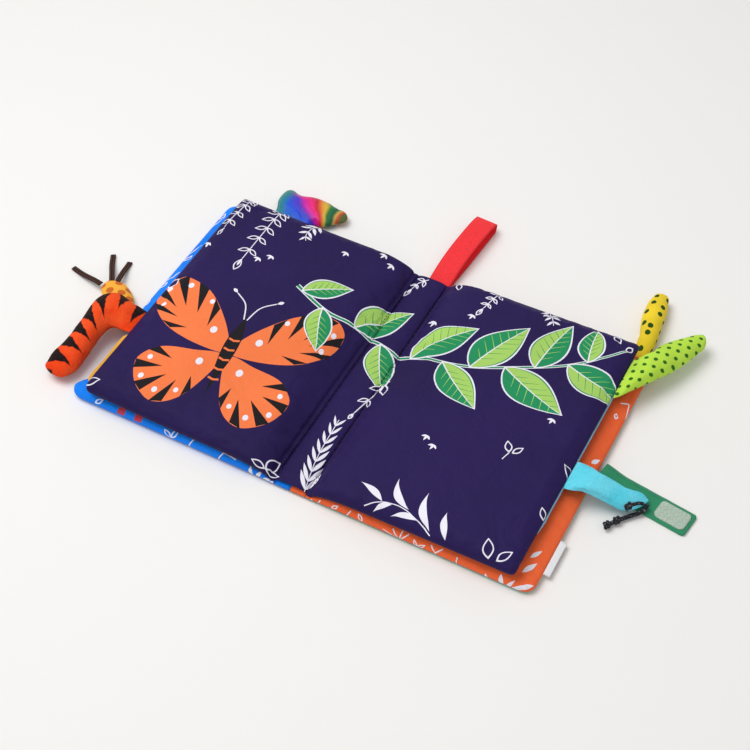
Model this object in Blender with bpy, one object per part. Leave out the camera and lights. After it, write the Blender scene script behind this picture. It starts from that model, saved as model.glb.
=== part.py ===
# Soft cloth activity book, lying open: two padded covers and two padded pages on a
# stitched spine, with stuffed tails, a ribbon loop and a touch-fastening strap.
# Metres, +Z up. +X runs to the reader's right, +Y up the page. The origin is the
# middle of the spine, on the surface that the book lies on.

import math

import bmesh
import bpy
from mathutils import Vector

# Cloth and clearances
CLOTH = 0.0006
FILM = 0.0003
GAP = 0.0003
BED_GAP = 0.0006
SEW_GAP = 0.0004
AXIS_CLEAR = 0.0011

# Spine
GUTTER = 0.023
FOOT_WIDTH = 0.009
SPINE_CROWN = 0.0020
SPINE_STEPS = 8

# Covers
COVER_WIDTH = 0.154
COVER_HEIGHT = 0.203
COVER_THICKNESS = 0.0082
COVER_EDGE = 0.010
COVER_CORNER_POWER = 2.6

# Pages
PAGE_WIDTH = 0.142
PAGE_HEIGHT = 0.200
PAGE_THICKNESS = 0.0079
PAGE_EDGE = 0.009
PAGE_CORNER_POWER = 3.4
LEFT_RISE_NEAR = 0.0
LEFT_RISE_FAR = 0.0037
RIGHT_RISE_NEAR = 0.0014
RIGHT_RISE_FAR = 0.0050

# Shape that every padded leaf shares
HEM = 0.0035
HINGE_SWELL = 0.034
CROWN = 0.0005
HINGE_SHARES = (0.0, 0.10, 0.35, 1.0)
FIELD_SHARES = (0.52, 0.76)
RIM_SHARES = (0.0, 0.12, 0.4, 1.0)
UPRIGHT_SHARES = (-0.24, 0.0, 0.24)

# Squeaker in the front cover
SQUEAKER_RADIUS = 0.015
SQUEAKER_HEIGHT = 0.0040
SQUEAKER_BEVEL = 0.0012
SQUEAKER_INSET = 0.066
SQUEAKER_SIDES = 32

# Fastener patch let into the front cover's outside
LOOP_PATCH_LENGTH = 0.030
LOOP_PATCH_WIDTH = 0.016
LOOP_PATCH_INSET = 0.013

# Closing strap on the back cover's fore edge
STRAP_WIDTH = 0.0182
STRAP_THICKNESS = 0.0015
STRAP_LENGTH = 0.065
STRAP_PLACE = 0.0005
STRAP_HEADING = math.radians(-8.5)
STRAP_FLOAT = 0.0005
STRAP_DROP_RUN = 0.016
STRAP_CORNER = 0.0022
HOOK_LENGTH = 0.0210
HOOK_WIDTH = 0.0140
HOOK_THICKNESS = 0.0009
HOOK_MARGIN = 0.0022
HOOK_CORNER = 0.0030

# Blank label on the back cover's fore edge
LABEL_LENGTH = 0.027
LABEL_REACH = 0.0042
LABEL_FROM_FOOT = 0.0300

# Ribbon loop at the head of the spine
RIBBON_WIDTH = 0.0165
RIBBON_THICKNESS = 0.0006
RIBBON_REACH = 0.069
RIBBON_PLACE = 0.0042
RIBBON_HEADING = math.radians(86.2)
RIBBON_TOP = 0.0104
RIBBON_ROOT_SPREAD = 0.0010
RIBBON_SHARES = (
    (0.0, 0.0),
    (0.10, 0.34),
    (0.24, 0.72),
    (0.42, 0.95),
    (0.60, 1.0),
    (0.78, 0.96),
    (0.91, 0.84),
    (0.975, 0.66),
    (1.0, 0.5),
)

# Stuffed tails: each row of shares is one rib, as two edge points in plan, then the
# height of its middle and its thickness
TAIL_SIDES = 12
TAIL_ROOT_THICKNESS = 0.0015
TAIL_FLOAT = 0.0006

STRIPED_LENGTH = 0.080
STRIPED_THICKNESS = 0.0145
STRIPED_PLACE = -0.0365
STRIPED_SHARES = (
    (0.000, 0.131, 0.000, -0.131, 1.0, 0.0),
    (0.088, 0.144, 0.075, -0.131, 1.0, 0.45),
    (0.188, 0.162, 0.138, -0.131, 1.0, 0.8),
    (0.325, 0.176, 0.181, -0.144, 1.0, 0.97),
    (0.425, 0.106, 0.200, -0.181, 0.97, 1.0),
    (0.452, -0.044, 0.212, -0.244, 0.87, 1.0),
    (0.448, -0.244, 0.219, -0.344, 0.68, 1.0),
    (0.458, -0.425, 0.222, -0.475, 0.44, 0.98),
    (0.490, -0.570, 0.234, -0.595, 0.2, 0.92),
    (0.490, -0.650, 0.268, -0.675, 0.07, 0.7),
)
STRIPED_TIP_SHARES = (0.392, -0.726, 0.04)

TUFTED_LENGTH = 0.042
TUFTED_THICKNESS = 0.0074
TUFTED_PLACE = -0.0298
TUFTED_SHARES = (
    (0.000, 0.245, 0.000, -0.243, 1.0, 0.0),
    (0.160, 0.345, 0.130, -0.190, 1.0, 0.6),
    (0.320, 0.460, 0.300, -0.080, 1.0, 0.92),
    (0.470, 0.550, 0.490, 0.040, 0.95, 1.0),
    (0.620, 0.615, 0.680, 0.160, 0.85, 0.9),
    (0.760, 0.610, 0.820, 0.290, 0.72, 0.62),
)
TUFTED_TIP_SHARES = (0.885, 0.480, 0.62)

RAINBOW_LENGTH = 0.050
RAINBOW_THICKNESS = 0.0090
RAINBOW_PLACE = -0.1190
RAINBOW_SHARES = (
    (0.000, -0.270, 0.000, 0.290, 1.0, 0.0),
    (0.200, -0.315, 0.100, 0.310, 0.9, 0.5),
    (0.430, -0.390, 0.165, 0.350, 0.6, 0.85),
    (0.640, -0.350, 0.195, 0.400, 0.3, 1.0),
    (0.645, -0.120, 0.215, 0.450, 0.1, 1.0),
    (0.700, 0.120, 0.240, 0.495, 0.0, 0.96),
    (0.690, 0.330, 0.305, 0.555, 0.0, 0.78),
    (0.635, 0.530, 0.390, 0.630, 0.0, 0.52),
)
RAINBOW_TIP_SHARES = (0.550, 0.715, 0.0)

LIME_LENGTH = 0.080
LIME_THICKNESS = 0.0115
LIME_PLACE = 0.0680
LIME_SHARES = (
    (0.000, 0.232, 0.000, -0.232, 1.0, 0.0),
    (0.062, 0.310, 0.088, -0.125, 0.98, 0.5),
    (0.125, 0.416, 0.175, 0.008, 0.9, 0.82),
    (0.194, 0.550, 0.262, 0.160, 0.76, 1.0),
    (0.269, 0.660, 0.344, 0.322, 0.62, 1.0),
    (0.342, 0.755, 0.412, 0.495, 0.5, 0.9),
    (0.405, 0.810, 0.455, 0.635, 0.42, 0.62),
)
LIME_TIP_SHARES = (0.468, 0.758, 0.38)

YELLOW_LENGTH = 0.060
YELLOW_THICKNESS = 0.0120
YELLOW_PLACE = 0.1510
YELLOW_SHARES = (
    (0.000, -0.050, 0.000, 0.092, 1.0, 0.0),
    (0.100, -0.050, 0.100, 0.130, 0.8, 0.42),
    (0.250, -0.075, 0.233, 0.142, 0.4, 0.76),
    (0.417, -0.105, 0.417, 0.130, 0.1, 0.94),
    (0.583, -0.135, 0.600, 0.110, 0.0, 0.98),
    (0.767, -0.150, 0.783, 0.080, 0.0, 0.92),
    (0.880, -0.130, 0.895, 0.050, 0.0, 0.7),
)
YELLOW_TIP_SHARES = (0.960, -0.040, 0.0)

BLUE_LENGTH = 0.048
BLUE_THICKNESS = 0.0072
BLUE_PLACE = -0.0190
BLUE_SHARES = (
    (0.000, 0.237, 0.000, -0.243, 1.0, 0.0),
    (0.188, 0.252, 0.150, -0.210, 0.98, 0.6),
    (0.375, 0.262, 0.300, -0.172, 0.85, 0.95),
    (0.562, 0.270, 0.440, -0.135, 0.62, 1.0),
    (0.750, 0.280, 0.580, -0.105, 0.38, 1.0),
    (0.900, 0.285, 0.690, -0.085, 0.2, 0.86),
    (0.985, 0.245, 0.765, -0.060, 0.12, 0.5),
)
BLUE_TIP_SHARES = (0.925, 0.085, 0.12)

# Three flat tufts at the tufted tail's tip
TUFT_WIDTH = 0.0038
TUFT_THICKNESS = 0.0008
TUFT_FLOAT = 0.0008
TUFT_LENGTHS = (0.0306, 0.0282, 0.0229)
TUFT_CLEAR = 0.0010
TUFT_STEPS = 5
TUFT_ROOT_SHARES = ((0.880, 0.434), (0.800, 0.606), (0.690, 0.620))
TUFT_HEADINGS = (math.radians(166.5), math.radians(124.1), math.radians(104.9))
TUFT_HEIGHT_SHARE = 0.72

# Knotted cord at the blue tail's end
CORD_RADIUS = 0.0014
KNOT_SHARE = 1.75
CORD_RESOLUTION = 2
CORD_ROUTE = (
    Vector((0.2027, -0.0097, 0.0060)),
    Vector((0.2024, -0.0128, 0.0046)),
    Vector((0.2004, -0.0156, 0.0034)),
    Vector((0.1977, -0.0183, 0.0027)),
    Vector((0.1950, -0.0213, 0.0027)),
    Vector((0.1923, -0.0245, 0.0027)),
    Vector((0.1899, -0.0275, 0.0027)),
    Vector((0.1877, -0.0306, 0.0027)),
    Vector((0.1857, -0.0337, 0.0027)),
)
CORD_KNOTS = (6, 8)

# How far a cutter overruns what it cuts
OVERRUN = 0.002

# Places that follow from the sizes above
LEFT = -1
RIGHT = 1
UP = Vector((0.0, 0.0, 1.0))
LAYER = CLOTH + GAP
HEM_HALF = CLOTH + GAP / 2
SEAM_X = GUTTER / 2
SPINE_LIFT = COVER_THICKNESS / 2 - HEM_HALF - LAYER - CLOTH / 2
HINGE_Z = SPINE_LIFT + 4 * CLOTH + 3 * GAP
COVER_HEM_Z = HINGE_Z - 3 * CLOTH - 2.5 * GAP
PAGE_HEM_Z = HINGE_Z - CLOTH - GAP / 2
COVER_MID_Z = COVER_THICKNESS / 2
PAGE_MID_Z = COVER_THICKNESS + BED_GAP + PAGE_THICKNESS / 2
COVER_EDGE_X = SEAM_X + COVER_WIDTH
PAGE_EDGE_X = SEAM_X + PAGE_WIDTH
HEAD_Y = COVER_HEIGHT / 2
LABEL_PLACE = LABEL_FROM_FOOT - COVER_HEIGHT / 2
LEFT_EDGE_Z = PAGE_MID_Z + LEFT_RISE_FAR
RIGHT_EDGE_Z = PAGE_MID_Z + RIGHT_RISE_FAR


def clear_scene():
    """Removes whatever the file holds."""
    for old in list(bpy.data.objects):
        bpy.data.objects.remove(old, do_unlink=True)


def material(name, colour, roughness, metallic=0.0):
    """One Principled material."""
    made = bpy.data.materials.new(name)
    made.use_nodes = True
    shader = made.node_tree.nodes["Principled BSDF"]
    shader.inputs["Base Color"].default_value = (*colour, 1.0)
    shader.inputs["Roughness"].default_value = roughness
    shader.inputs["Metallic"].default_value = metallic
    made.diffuse_color = (*colour, 1.0)
    return made


def body(name, origin, parent=None):
    """An empty on a joint's axis, which carries one body's pieces."""
    empty = bpy.data.objects.new(name, None)
    bpy.context.collection.objects.link(empty)
    home = Vector(origin)
    if parent is not None:
        empty.parent = parent
        home = home - Vector(parent["home"])
    empty.location = home
    empty["home"] = tuple(origin)
    return empty


def piece(name, points, faces, stuff, carrier, smooth=True):
    """One closed mesh on its body, from points in the book's frame."""
    home = Vector(carrier["home"])
    mesh = bpy.data.meshes.new(name)
    form = bmesh.new()
    corners = [form.verts.new(Vector(point) - home) for point in points]
    for face in faces:
        form.faces.new([corners[index] for index in face])
    bmesh.ops.recalc_face_normals(form, faces=form.faces)
    for face in form.faces:
        face.smooth = smooth
    form.to_mesh(mesh)
    form.free()
    mesh.materials.append(stuff)
    made = bpy.data.objects.new(name, mesh)
    made.parent = carrier
    bpy.context.collection.objects.link(made)
    return made


def ease(distance, run):
    """Quarter-ellipse rise from 0 at the edge to 1 once past the run."""
    share = min(max(distance / run, 0.0), 1.0)
    return math.sqrt(share * (2.0 - share))


def blend(low, high, share):
    """The value at a share of the way from low to high."""
    return low + (high - low) * share


def sheet_faces(columns, rows):
    """Faces of a closed slab whose two grids of points follow one another."""
    layer = columns * rows
    faces = []
    for i in range(columns - 1):
        for j in range(rows - 1):
            a = i * rows + j
            b = a + rows
            faces.append((a, b, b + 1, a + 1))
            faces.append((layer + a, layer + a + 1, layer + b + 1, layer + b))
    rim = [j for j in range(rows)]
    rim += [i * rows + rows - 1 for i in range(1, columns)]
    rim += [(columns - 1) * rows + j for j in range(rows - 2, -1, -1)]
    rim += [i * rows for i in range(columns - 2, 0, -1)]
    for here, there in zip(rim, rim[1:] + rim[:1]):
        faces.append((here, there, layer + there, layer + here))
    return faces


class Pad:
    """The form of one padded leaf, from its hinge seam to its fore edge."""

    def __init__(self, side, width, height, edge, thickness, hem_z, mid_z):
        self.side = side
        self.width = width
        self.height = height
        self.edge = edge
        self.swell = thickness / 2 - HEM_HALF
        self.hem_z = hem_z
        self.mid_z = mid_z
        self.corner_power = COVER_CORNER_POWER
        self.rise_near = 0.0
        self.rise_far = 0.0
        self.bed_crown = 0.0
        self.top_crown = CROWN

    def across(self):
        """Distances from the hinge at which the form has points."""
        places = [0.0]
        places += [HEM + HINGE_SWELL * share for share in HINGE_SHARES]
        places += [self.width * share for share in FIELD_SHARES]
        places += [self.width - self.edge * share for share in reversed(RIM_SHARES)]
        return places

    def upright(self):
        """Heights up the leaf at which the form has points."""
        half = self.height / 2
        places = [self.edge * share - half for share in RIM_SHARES]
        places += [self.height * share for share in UPRIGHT_SHARES]
        places += [half - self.edge * share for share in reversed(RIM_SHARES)]
        return places

    def plan(self, s, y):
        """A grid point moved in where the fore corners are rounded."""
        inner_s = self.width - self.edge
        inner_y = self.height / 2 - self.edge
        if s <= inner_s or abs(y) <= inner_y:
            return s, y
        a = (s - inner_s) / self.edge
        b = (abs(y) - inner_y) / self.edge
        pull = self.edge * max(a, b) / self.corner_reach(a, b)
        return inner_s + pull * a, math.copysign(inner_y + pull * b, y)

    def corner_reach(self, a, b):
        """Distance out from a corner's centre, along lines of the rounded corner's own form."""
        power = self.corner_power
        return (a ** power + b ** power) ** (1.0 / power)

    def rim_depth(self, s, y):
        """How far in from the rounded rim a place in plan is."""
        inner_s = self.width - self.edge
        inner_y = self.height / 2 - self.edge
        over_s = s - inner_s
        over_y = abs(y) - inner_y
        if over_s > 0 and over_y > 0:
            return self.edge - self.corner_reach(over_s, over_y)
        return self.edge - max(over_s, over_y)

    def fullness(self, s, y, inset):
        """How far the stuffing fills the cloth out, from 0 at the seams to 1."""
        rim = ease(self.rim_depth(s, y) - inset, self.edge)
        return ease(s - HEM - inset, HINGE_SWELL) * rim

    def dome(self, s, y):
        """Crown of the whole field, from 0 at the edges to 1 in the middle."""
        along = 2 * s / self.width - 1.0
        up = 2 * y / self.height
        return (1.0 - along * along) * (1.0 - up * up)

    def middle(self, s, y):
        """Height of the seam that goes round between the two cloths."""
        opened = ease(s - HEM, HINGE_SWELL)
        rise = blend(self.rise_near, self.rise_far, s / self.width)
        bed = self.bed_crown * self.dome(s, y)
        return blend(self.hem_z, self.mid_z + rise, opened) + bed

    def top(self, s, y, inset=0.0, drop=0.0):
        """Height of the upper cloth, or of what lies under it."""
        swell = self.swell * self.fullness(s, y, inset)
        return self.middle(s, y) + HEM_HALF + swell + self.top_crown * self.dome(s, y) - drop

    def foot(self, s, y, inset=0.0, lift=0.0):
        """Height of the lower cloth, or of what lies on it."""
        return self.middle(s, y) - HEM_HALF - self.swell * self.fullness(s, y, inset) + lift

    def slab(self, name, stuff, carrier, upper, lower, trim=(0, 0, 0)):
        """A closed slab between two heights, with rows of points left off it."""
        across = self.across()
        upright = self.upright()
        near, far, ends = trim
        across = across[near:len(across) - far]
        upright = upright[ends:len(upright) - ends]
        flat = [self.plan(s, y) for s in across for y in upright]
        points = [self.place(s, y, upper(s, y)) for s, y in flat]
        points += [self.place(s, y, lower(s, y)) for s, y in flat]
        faces = sheet_faces(len(across), len(upright))
        return piece(name, points, faces, stuff, carrier)

    def place(self, s, y, z):
        """A point of the leaf in the book's frame, just clear of the hinge line."""
        return Vector((self.side * (SEAM_X + GAP / 2 + s * (1.0 - GAP / self.width / 2)), y, z))

    def upper_cloth(self, name, stuff, carrier):
        """The cloth on the leaf's upper face."""
        return self.slab(
            name, stuff, carrier, self.top,
            lambda s, y: self.top(s, y, CLOTH, CLOTH))

    def lower_cloth(self, name, stuff, carrier):
        """The cloth on the leaf's under face."""
        return self.slab(
            name, stuff, carrier,
            lambda s, y: self.foot(s, y, CLOTH, CLOTH),
            self.foot)

    def wadding(self, name, stuff, carrier, headroom=0.0):
        """The quilt wadding between the two cloths."""
        return self.slab(
            name, stuff, carrier,
            lambda s, y: self.top(s, y, CLOTH, LAYER + headroom),
            lambda s, y: self.foot(s, y, CLOTH, LAYER),
            (3, 1, 1))

    def film(self, name, stuff, carrier):
        """The crinkly film between the wadding and the upper cloth."""
        return self.slab(
            name, stuff, carrier,
            lambda s, y: self.top(s, y, CLOTH, LAYER),
            lambda s, y: self.top(s, y, CLOTH, LAYER + FILM),
            (4, 2, 2))


def rib(plan, z, thickness, inset):
    """One closed ring of points across a tail."""
    first, second = plan
    middle = (first + second) / 2
    reach = (first - second) / 2
    half_width = reach.length - inset
    half_thickness = thickness / 2 - inset
    points = []
    for step in range(TAIL_SIDES):
        turn = math.tau * step / TAIL_SIDES
        side = reach.normalized() * half_width * math.cos(turn)
        lift = UP * half_thickness * math.sin(turn)
        points.append(middle + side + lift + UP * z)
    return points


class Tail:
    """The form of one stuffed tail, sewn in at an edge of a leaf."""

    def __init__(self, length, thickness, shares, tip_shares, root, out, along):
        self.length = length
        self.thickness = thickness
        self.shares = shares
        self.tip_shares = tip_shares
        self.root = Vector(root)
        self.out = Vector(out)
        self.along = Vector(along)

    def spot(self, out_share, along_share):
        """A place in plan, from shares of the tail's length."""
        flat = self.out * out_share + self.along * along_share
        base = Vector((self.root.x, self.root.y, 0.0))
        return base + flat * self.length

    def height(self, share, thickness):
        """Height of a rib's middle, between lying down and its sewn-in edge."""
        lying = TAIL_FLOAT + thickness / 2
        return max(lying, blend(TAIL_FLOAT + self.thickness / 2, self.root.z, share))

    def girth(self, share):
        """A rib's thickness."""
        return blend(TAIL_ROOT_THICKNESS, self.thickness, share)

    def rings(self, inset):
        """Every rib, pulled in by the inset."""
        made = []
        for row in self.shares:
            plan = (self.spot(row[0], row[1]), self.spot(row[2], row[3]))
            thickness = self.girth(row[5])
            made.append(rib(plan, self.height(row[4], thickness), thickness, inset))
        return made

    def tip(self, inset):
        """The tail's end point, pulled in by the inset."""
        far = self.spot(self.tip_shares[0], self.tip_shares[1])
        last = self.shares[-1]
        near = (self.spot(last[0], last[1]) + self.spot(last[2], last[3])) / 2
        pulled = far - (far - near).normalized() * inset
        girth = self.girth(last[5])
        return pulled + UP * self.height(self.tip_shares[2], girth)

    def sleeve(self, name, stuff, carrier):
        """The tail's cloth, a sock that is open at its sewn-in end."""
        outer = self.rings(0.0)
        inner = self.rings(CLOTH)
        points = [point for ring in outer + inner for point in ring]
        count = len(outer)
        faces = ring_faces(0, count)
        faces += ring_faces(count * TAIL_SIDES, count)
        start = count * TAIL_SIDES
        for here in range(TAIL_SIDES):
            there = (here + 1) % TAIL_SIDES
            faces.append((here, there, start + there, start + here))
        for offset, inset in ((0, 0.0), (start, CLOTH)):
            pole = len(points)
            points.append(self.tip(inset))
            faces += fan_faces(offset + (count - 1) * TAIL_SIDES, pole)
        return piece(name, points, faces, stuff, carrier)

    def stuffing(self, name, stuff, carrier):
        """The soft filling in the sock."""
        rings = self.rings(LAYER)[1:]
        points = [point for ring in rings for point in ring]
        faces = ring_faces(0, len(rings))
        faces.append(tuple(range(TAIL_SIDES)))
        pole = len(points)
        points.append(self.tip(LAYER))
        faces += fan_faces((len(rings) - 1) * TAIL_SIDES, pole)
        return piece(name, points, faces, stuff, carrier)


def ring_faces(start, count):
    """Faces that join rings one after another."""
    faces = []
    for ring in range(count - 1):
        base = start + ring * TAIL_SIDES
        for here in range(TAIL_SIDES):
            there = (here + 1) % TAIL_SIDES
            faces.append((base + here, base + there, base + TAIL_SIDES + there,
                          base + TAIL_SIDES + here))
    return faces


def fan_faces(base, pole):
    """Faces that close a ring at a pole."""
    return [(base + here, base + (here + 1) % TAIL_SIDES, pole) for here in range(TAIL_SIDES)]


def strip(name, centres, width_of, thickness, stuff, carrier):
    """A flat band that follows points, each with its sideways direction and width."""
    points = []
    for index, (point, aside) in enumerate(centres):
        before = centres[max(index - 1, 0)][0]
        after = centres[min(index + 1, len(centres) - 1)][0]
        ahead = (after - before).normalized()
        normal = aside.cross(ahead).normalized()
        half = width_of(index) / 2
        for side, face in ((-1, -1), (1, -1), (1, 1), (-1, 1)):
            points.append(point + aside * half * side + normal * thickness / 2 * face)
    faces = [(0, 1, 2, 3)]
    for index in range(len(centres) - 1):
        base = index * 4
        for here in range(4):
            there = (here + 1) % 4
            faces.append((base + here, base + there, base + 4 + there, base + 4 + here))
    last = (len(centres) - 1) * 4
    faces.append((last, last + 1, last + 2, last + 3))
    return piece(name, points, faces, stuff, carrier, smooth=False)


def rounded_plate(name, centre, along, aside, size, corner, stuff, carrier):
    """A flat plate with rounded corners."""
    length, width, thickness = size
    outline = []
    for quarter, (sign_a, sign_b) in enumerate(((1, 1), (-1, 1), (-1, -1), (1, -1))):
        for step in range(4):
            turn = math.pi / 2 * (quarter + step / 3)
            a = sign_a * (length / 2 - corner) + corner * math.cos(turn)
            b = sign_b * (width / 2 - corner) + corner * math.sin(turn)
            outline.append(centre + along * a + aside * b)
    normal = along.cross(aside).normalized()
    low = [point - normal * thickness / 2 for point in outline]
    high = [point + normal * thickness / 2 for point in outline]
    count = len(outline)
    faces = [tuple(range(count)), tuple(range(2 * count - 1, count - 1, -1))]
    for here in range(count):
        there = (here + 1) % count
        faces.append((here, there, count + there, count + here))
    return piece(name, low + high, faces, stuff, carrier, smooth=False)


def spine_layer(name, start, end, top_of, foot_of, half_height, stuff, carrier):
    """One strip of the spine, between two places across it."""
    columns = []
    for step in range(SPINE_STEPS + 1):
        x = blend(start, end, step / SPINE_STEPS)
        columns.append(x)
    points = [Vector((x, y, top_of(x))) for x in columns for y in (-half_height, half_height)]
    points += [Vector((x, y, foot_of(x))) for x in columns for y in (-half_height, half_height)]
    return piece(name, points, sheet_faces(len(columns), 2), stuff, carrier, smooth=False)


def spine_sag(x):
    """How far the spine's under side has come down to the table at a place."""
    span = SEAM_X - FOOT_WIDTH / 2
    share = min(max((SEAM_X - abs(x)) / span, 0.0), 1.0)
    return SPINE_LIFT * share


def spine_bulge(x):
    """How far the spine's face stands up above its seams at a place."""
    share = x / SEAM_X
    return SPINE_CROWN * (1.0 - share * share)


def make_spine(carrier, stuffs):
    """The spine's strips, from the table up."""
    reach = SEAM_X - GAP / 2
    lining_foot = SPINE_LIFT + LAYER
    backing_foot = lining_foot + LAYER
    face_foot = backing_foot + LAYER
    head = COVER_HEIGHT / 2
    page_head = PAGE_HEIGHT / 2
    spine_layer("spine_outer_cloth", -reach, reach,
                lambda x: SPINE_LIFT + CLOTH - spine_sag(x),
                lambda x: SPINE_LIFT - spine_sag(x), head, stuffs["green"], carrier)
    spine_layer("spine_blue_lining", -reach, -GAP / 2,
                lambda x: lining_foot + CLOTH,
                lambda x: lining_foot, head, stuffs["blue"], carrier)
    spine_layer("spine_orange_lining", GAP / 2, reach,
                lambda x: lining_foot + CLOTH,
                lambda x: lining_foot, head, stuffs["orange"], carrier)
    spine_layer("spine_backing_cloth", -reach, reach,
                lambda x: backing_foot + CLOTH,
                lambda x: backing_foot, page_head, stuffs["gold"], carrier)
    spine_layer("spine_face_cloth", -reach, reach,
                lambda x: face_foot + CLOTH + spine_bulge(x),
                lambda x: face_foot + spine_bulge(x), page_head, stuffs["navy"], carrier)
    core = SEAM_X * math.sqrt(0.5)
    spine_layer("spine_wadding", -core, core,
                lambda x: face_foot - GAP + spine_bulge(x),
                lambda x: backing_foot + LAYER, page_head - SEW_GAP,
                stuffs["wadding"], carrier)


def make_squeaker(cover, quilt, stuffs, carrier):
    """The squeaker disc, in a hole through the front cover's wadding."""
    home = Vector(carrier["home"])
    s = cover.width - SQUEAKER_INSET
    low = cover.foot(s, 0.0, CLOTH, LAYER)
    middle = Vector((cover.side * (SEAM_X + s), 0.0, low + SQUEAKER_HEIGHT / 2))
    bpy.ops.mesh.primitive_cylinder_add(
        vertices=SQUEAKER_SIDES, radius=SQUEAKER_RADIUS, depth=SQUEAKER_HEIGHT)
    disc = bpy.context.object
    disc.name = "squeaker"
    disc.data.name = "squeaker"
    disc.parent = carrier
    disc.location = middle - home
    disc.data.materials.append(stuffs["squeaker"])
    soften = disc.modifiers.new("Bevel", "BEVEL")
    soften.width = SQUEAKER_BEVEL
    soften.segments = 2
    soften.limit_method = "ANGLE"
    for face in disc.data.polygons:
        face.use_smooth = True
    bpy.ops.mesh.primitive_cylinder_add(
        vertices=SQUEAKER_SIDES, radius=SQUEAKER_RADIUS + BED_GAP,
        depth=COVER_THICKNESS + OVERRUN)
    cutter = bpy.context.object
    cutter.name = "cut_squeaker_pocket"
    cutter.parent = carrier
    cutter.location = middle - home
    carve(quilt, cutter)


def carve(target, cutter):
    """Takes the cutter's shape out of the target."""
    cutter.hide_render = True
    cutter.display_type = "WIRE"
    cutter.hide_set(True)
    cut = target.modifiers.new("Boolean", "BOOLEAN")
    cut.operation = "DIFFERENCE"
    cut.solver = "EXACT"
    cut.object = cutter


def make_loop_patch(cover, outer, stuffs, carrier):
    """The fastener's soft patch, flush in the front cover's outside."""
    s = cover.width - LOOP_PATCH_INSET - LOOP_PATCH_LENGTH / 2
    centre = Vector((cover.side * (SEAM_X + s), 0.0, CLOTH / 2))
    east = Vector((1.0, 0.0, 0.0))
    north = Vector((0.0, 1.0, 0.0))
    size = (LOOP_PATCH_LENGTH, LOOP_PATCH_WIDTH, CLOTH)
    rounded_plate("loop_patch", centre, east, north, size, HOOK_CORNER,
                  stuffs["hook"], carrier)
    hole = (LOOP_PATCH_LENGTH + 2 * GAP, LOOP_PATCH_WIDTH + 2 * GAP, CLOTH + OVERRUN)
    cutter = rounded_plate("cut_patch_window", centre, east, north, hole,
                           HOOK_CORNER + GAP, stuffs["hook"], carrier)
    carve(outer, cutter)


def make_strap(carrier, stuffs):
    """The closing strap and its hook patch."""
    ahead = Vector((math.cos(STRAP_HEADING), math.sin(STRAP_HEADING), 0.0))
    aside = Vector((-ahead.y, ahead.x, 0.0))
    slant = STRAP_WIDTH / 2 * abs(ahead.y)
    root = Vector((COVER_EDGE_X + SEW_GAP + slant, STRAP_PLACE, 0.0))
    low = STRAP_FLOAT + STRAP_THICKNESS / 2
    centres = []
    widths = []
    for share in (0.0, 0.3, 0.65, 1.0):
        fall = (1.0 + math.cos(math.pi * share)) / 2
        centres.append((root + ahead * STRAP_DROP_RUN * share
                        + UP * blend(low, COVER_MID_Z, fall), aside))
        widths.append(STRAP_WIDTH)
    tail_end = root + UP * low
    centres.append((tail_end + ahead * (STRAP_LENGTH - STRAP_CORNER), aside))
    widths.append(STRAP_WIDTH)
    centres.append((tail_end + ahead * STRAP_LENGTH, aside))
    widths.append(STRAP_WIDTH - 2 * STRAP_CORNER)
    strip("closing_strap", centres, lambda index: widths[index], STRAP_THICKNESS,
          stuffs["strap"], carrier)
    reach = STRAP_LENGTH - HOOK_MARGIN - HOOK_LENGTH / 2
    rest = low + STRAP_THICKNESS / 2 + GAP + HOOK_THICKNESS / 2
    rounded_plate("hook_patch", root + ahead * reach + UP * rest, ahead, aside,
                  (HOOK_LENGTH, HOOK_WIDTH, HOOK_THICKNESS), HOOK_CORNER,
                  stuffs["hook"], carrier)


def make_label(carrier, stuffs):
    """The blank label, folded tape sewn in at the fore edge."""
    middle = Vector((COVER_EDGE_X + SEW_GAP + LABEL_REACH / 2, LABEL_PLACE, COVER_MID_Z))
    rounded_plate("blank_label", middle, Vector((1.0, 0.0, 0.0)), Vector((0.0, 1.0, 0.0)),
                  (LABEL_REACH, LABEL_LENGTH, 2 * CLOTH), CLOTH, stuffs["label"], carrier)


def make_ribbon(carrier, stuffs):
    """The ribbon loop, both ends sewn in at the head of the spine."""
    ahead = Vector((math.cos(RIBBON_HEADING), math.sin(RIBBON_HEADING), 0.0))
    aside = Vector((ahead.y, -ahead.x, 0.0))
    slant = RIBBON_WIDTH / 2 * abs(ahead.x)
    root = Vector((RIBBON_PLACE, HEAD_Y + SEW_GAP + slant, 0.0))
    low = GAP + RIBBON_THICKNESS / 2
    high = RIBBON_TOP - RIBBON_THICKNESS / 2
    under = []
    over = []
    for reach_share, open_share in RIBBON_SHARES:
        place = root + ahead * RIBBON_REACH * reach_share
        under_root = HINGE_Z / 2 - RIBBON_ROOT_SPREAD / 2
        over_root = HINGE_Z / 2 + RIBBON_ROOT_SPREAD / 2
        if reach_share < 1.0:
            under.append((place + UP * blend(under_root, low, open_share), aside))
        over.append((place + UP * blend(over_root, high, open_share), aside))
    centres = under + list(reversed(over))
    strip("ribbon_loop", centres, lambda index: RIBBON_WIDTH, RIBBON_THICKNESS,
          stuffs["ribbon"], carrier)


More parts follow.
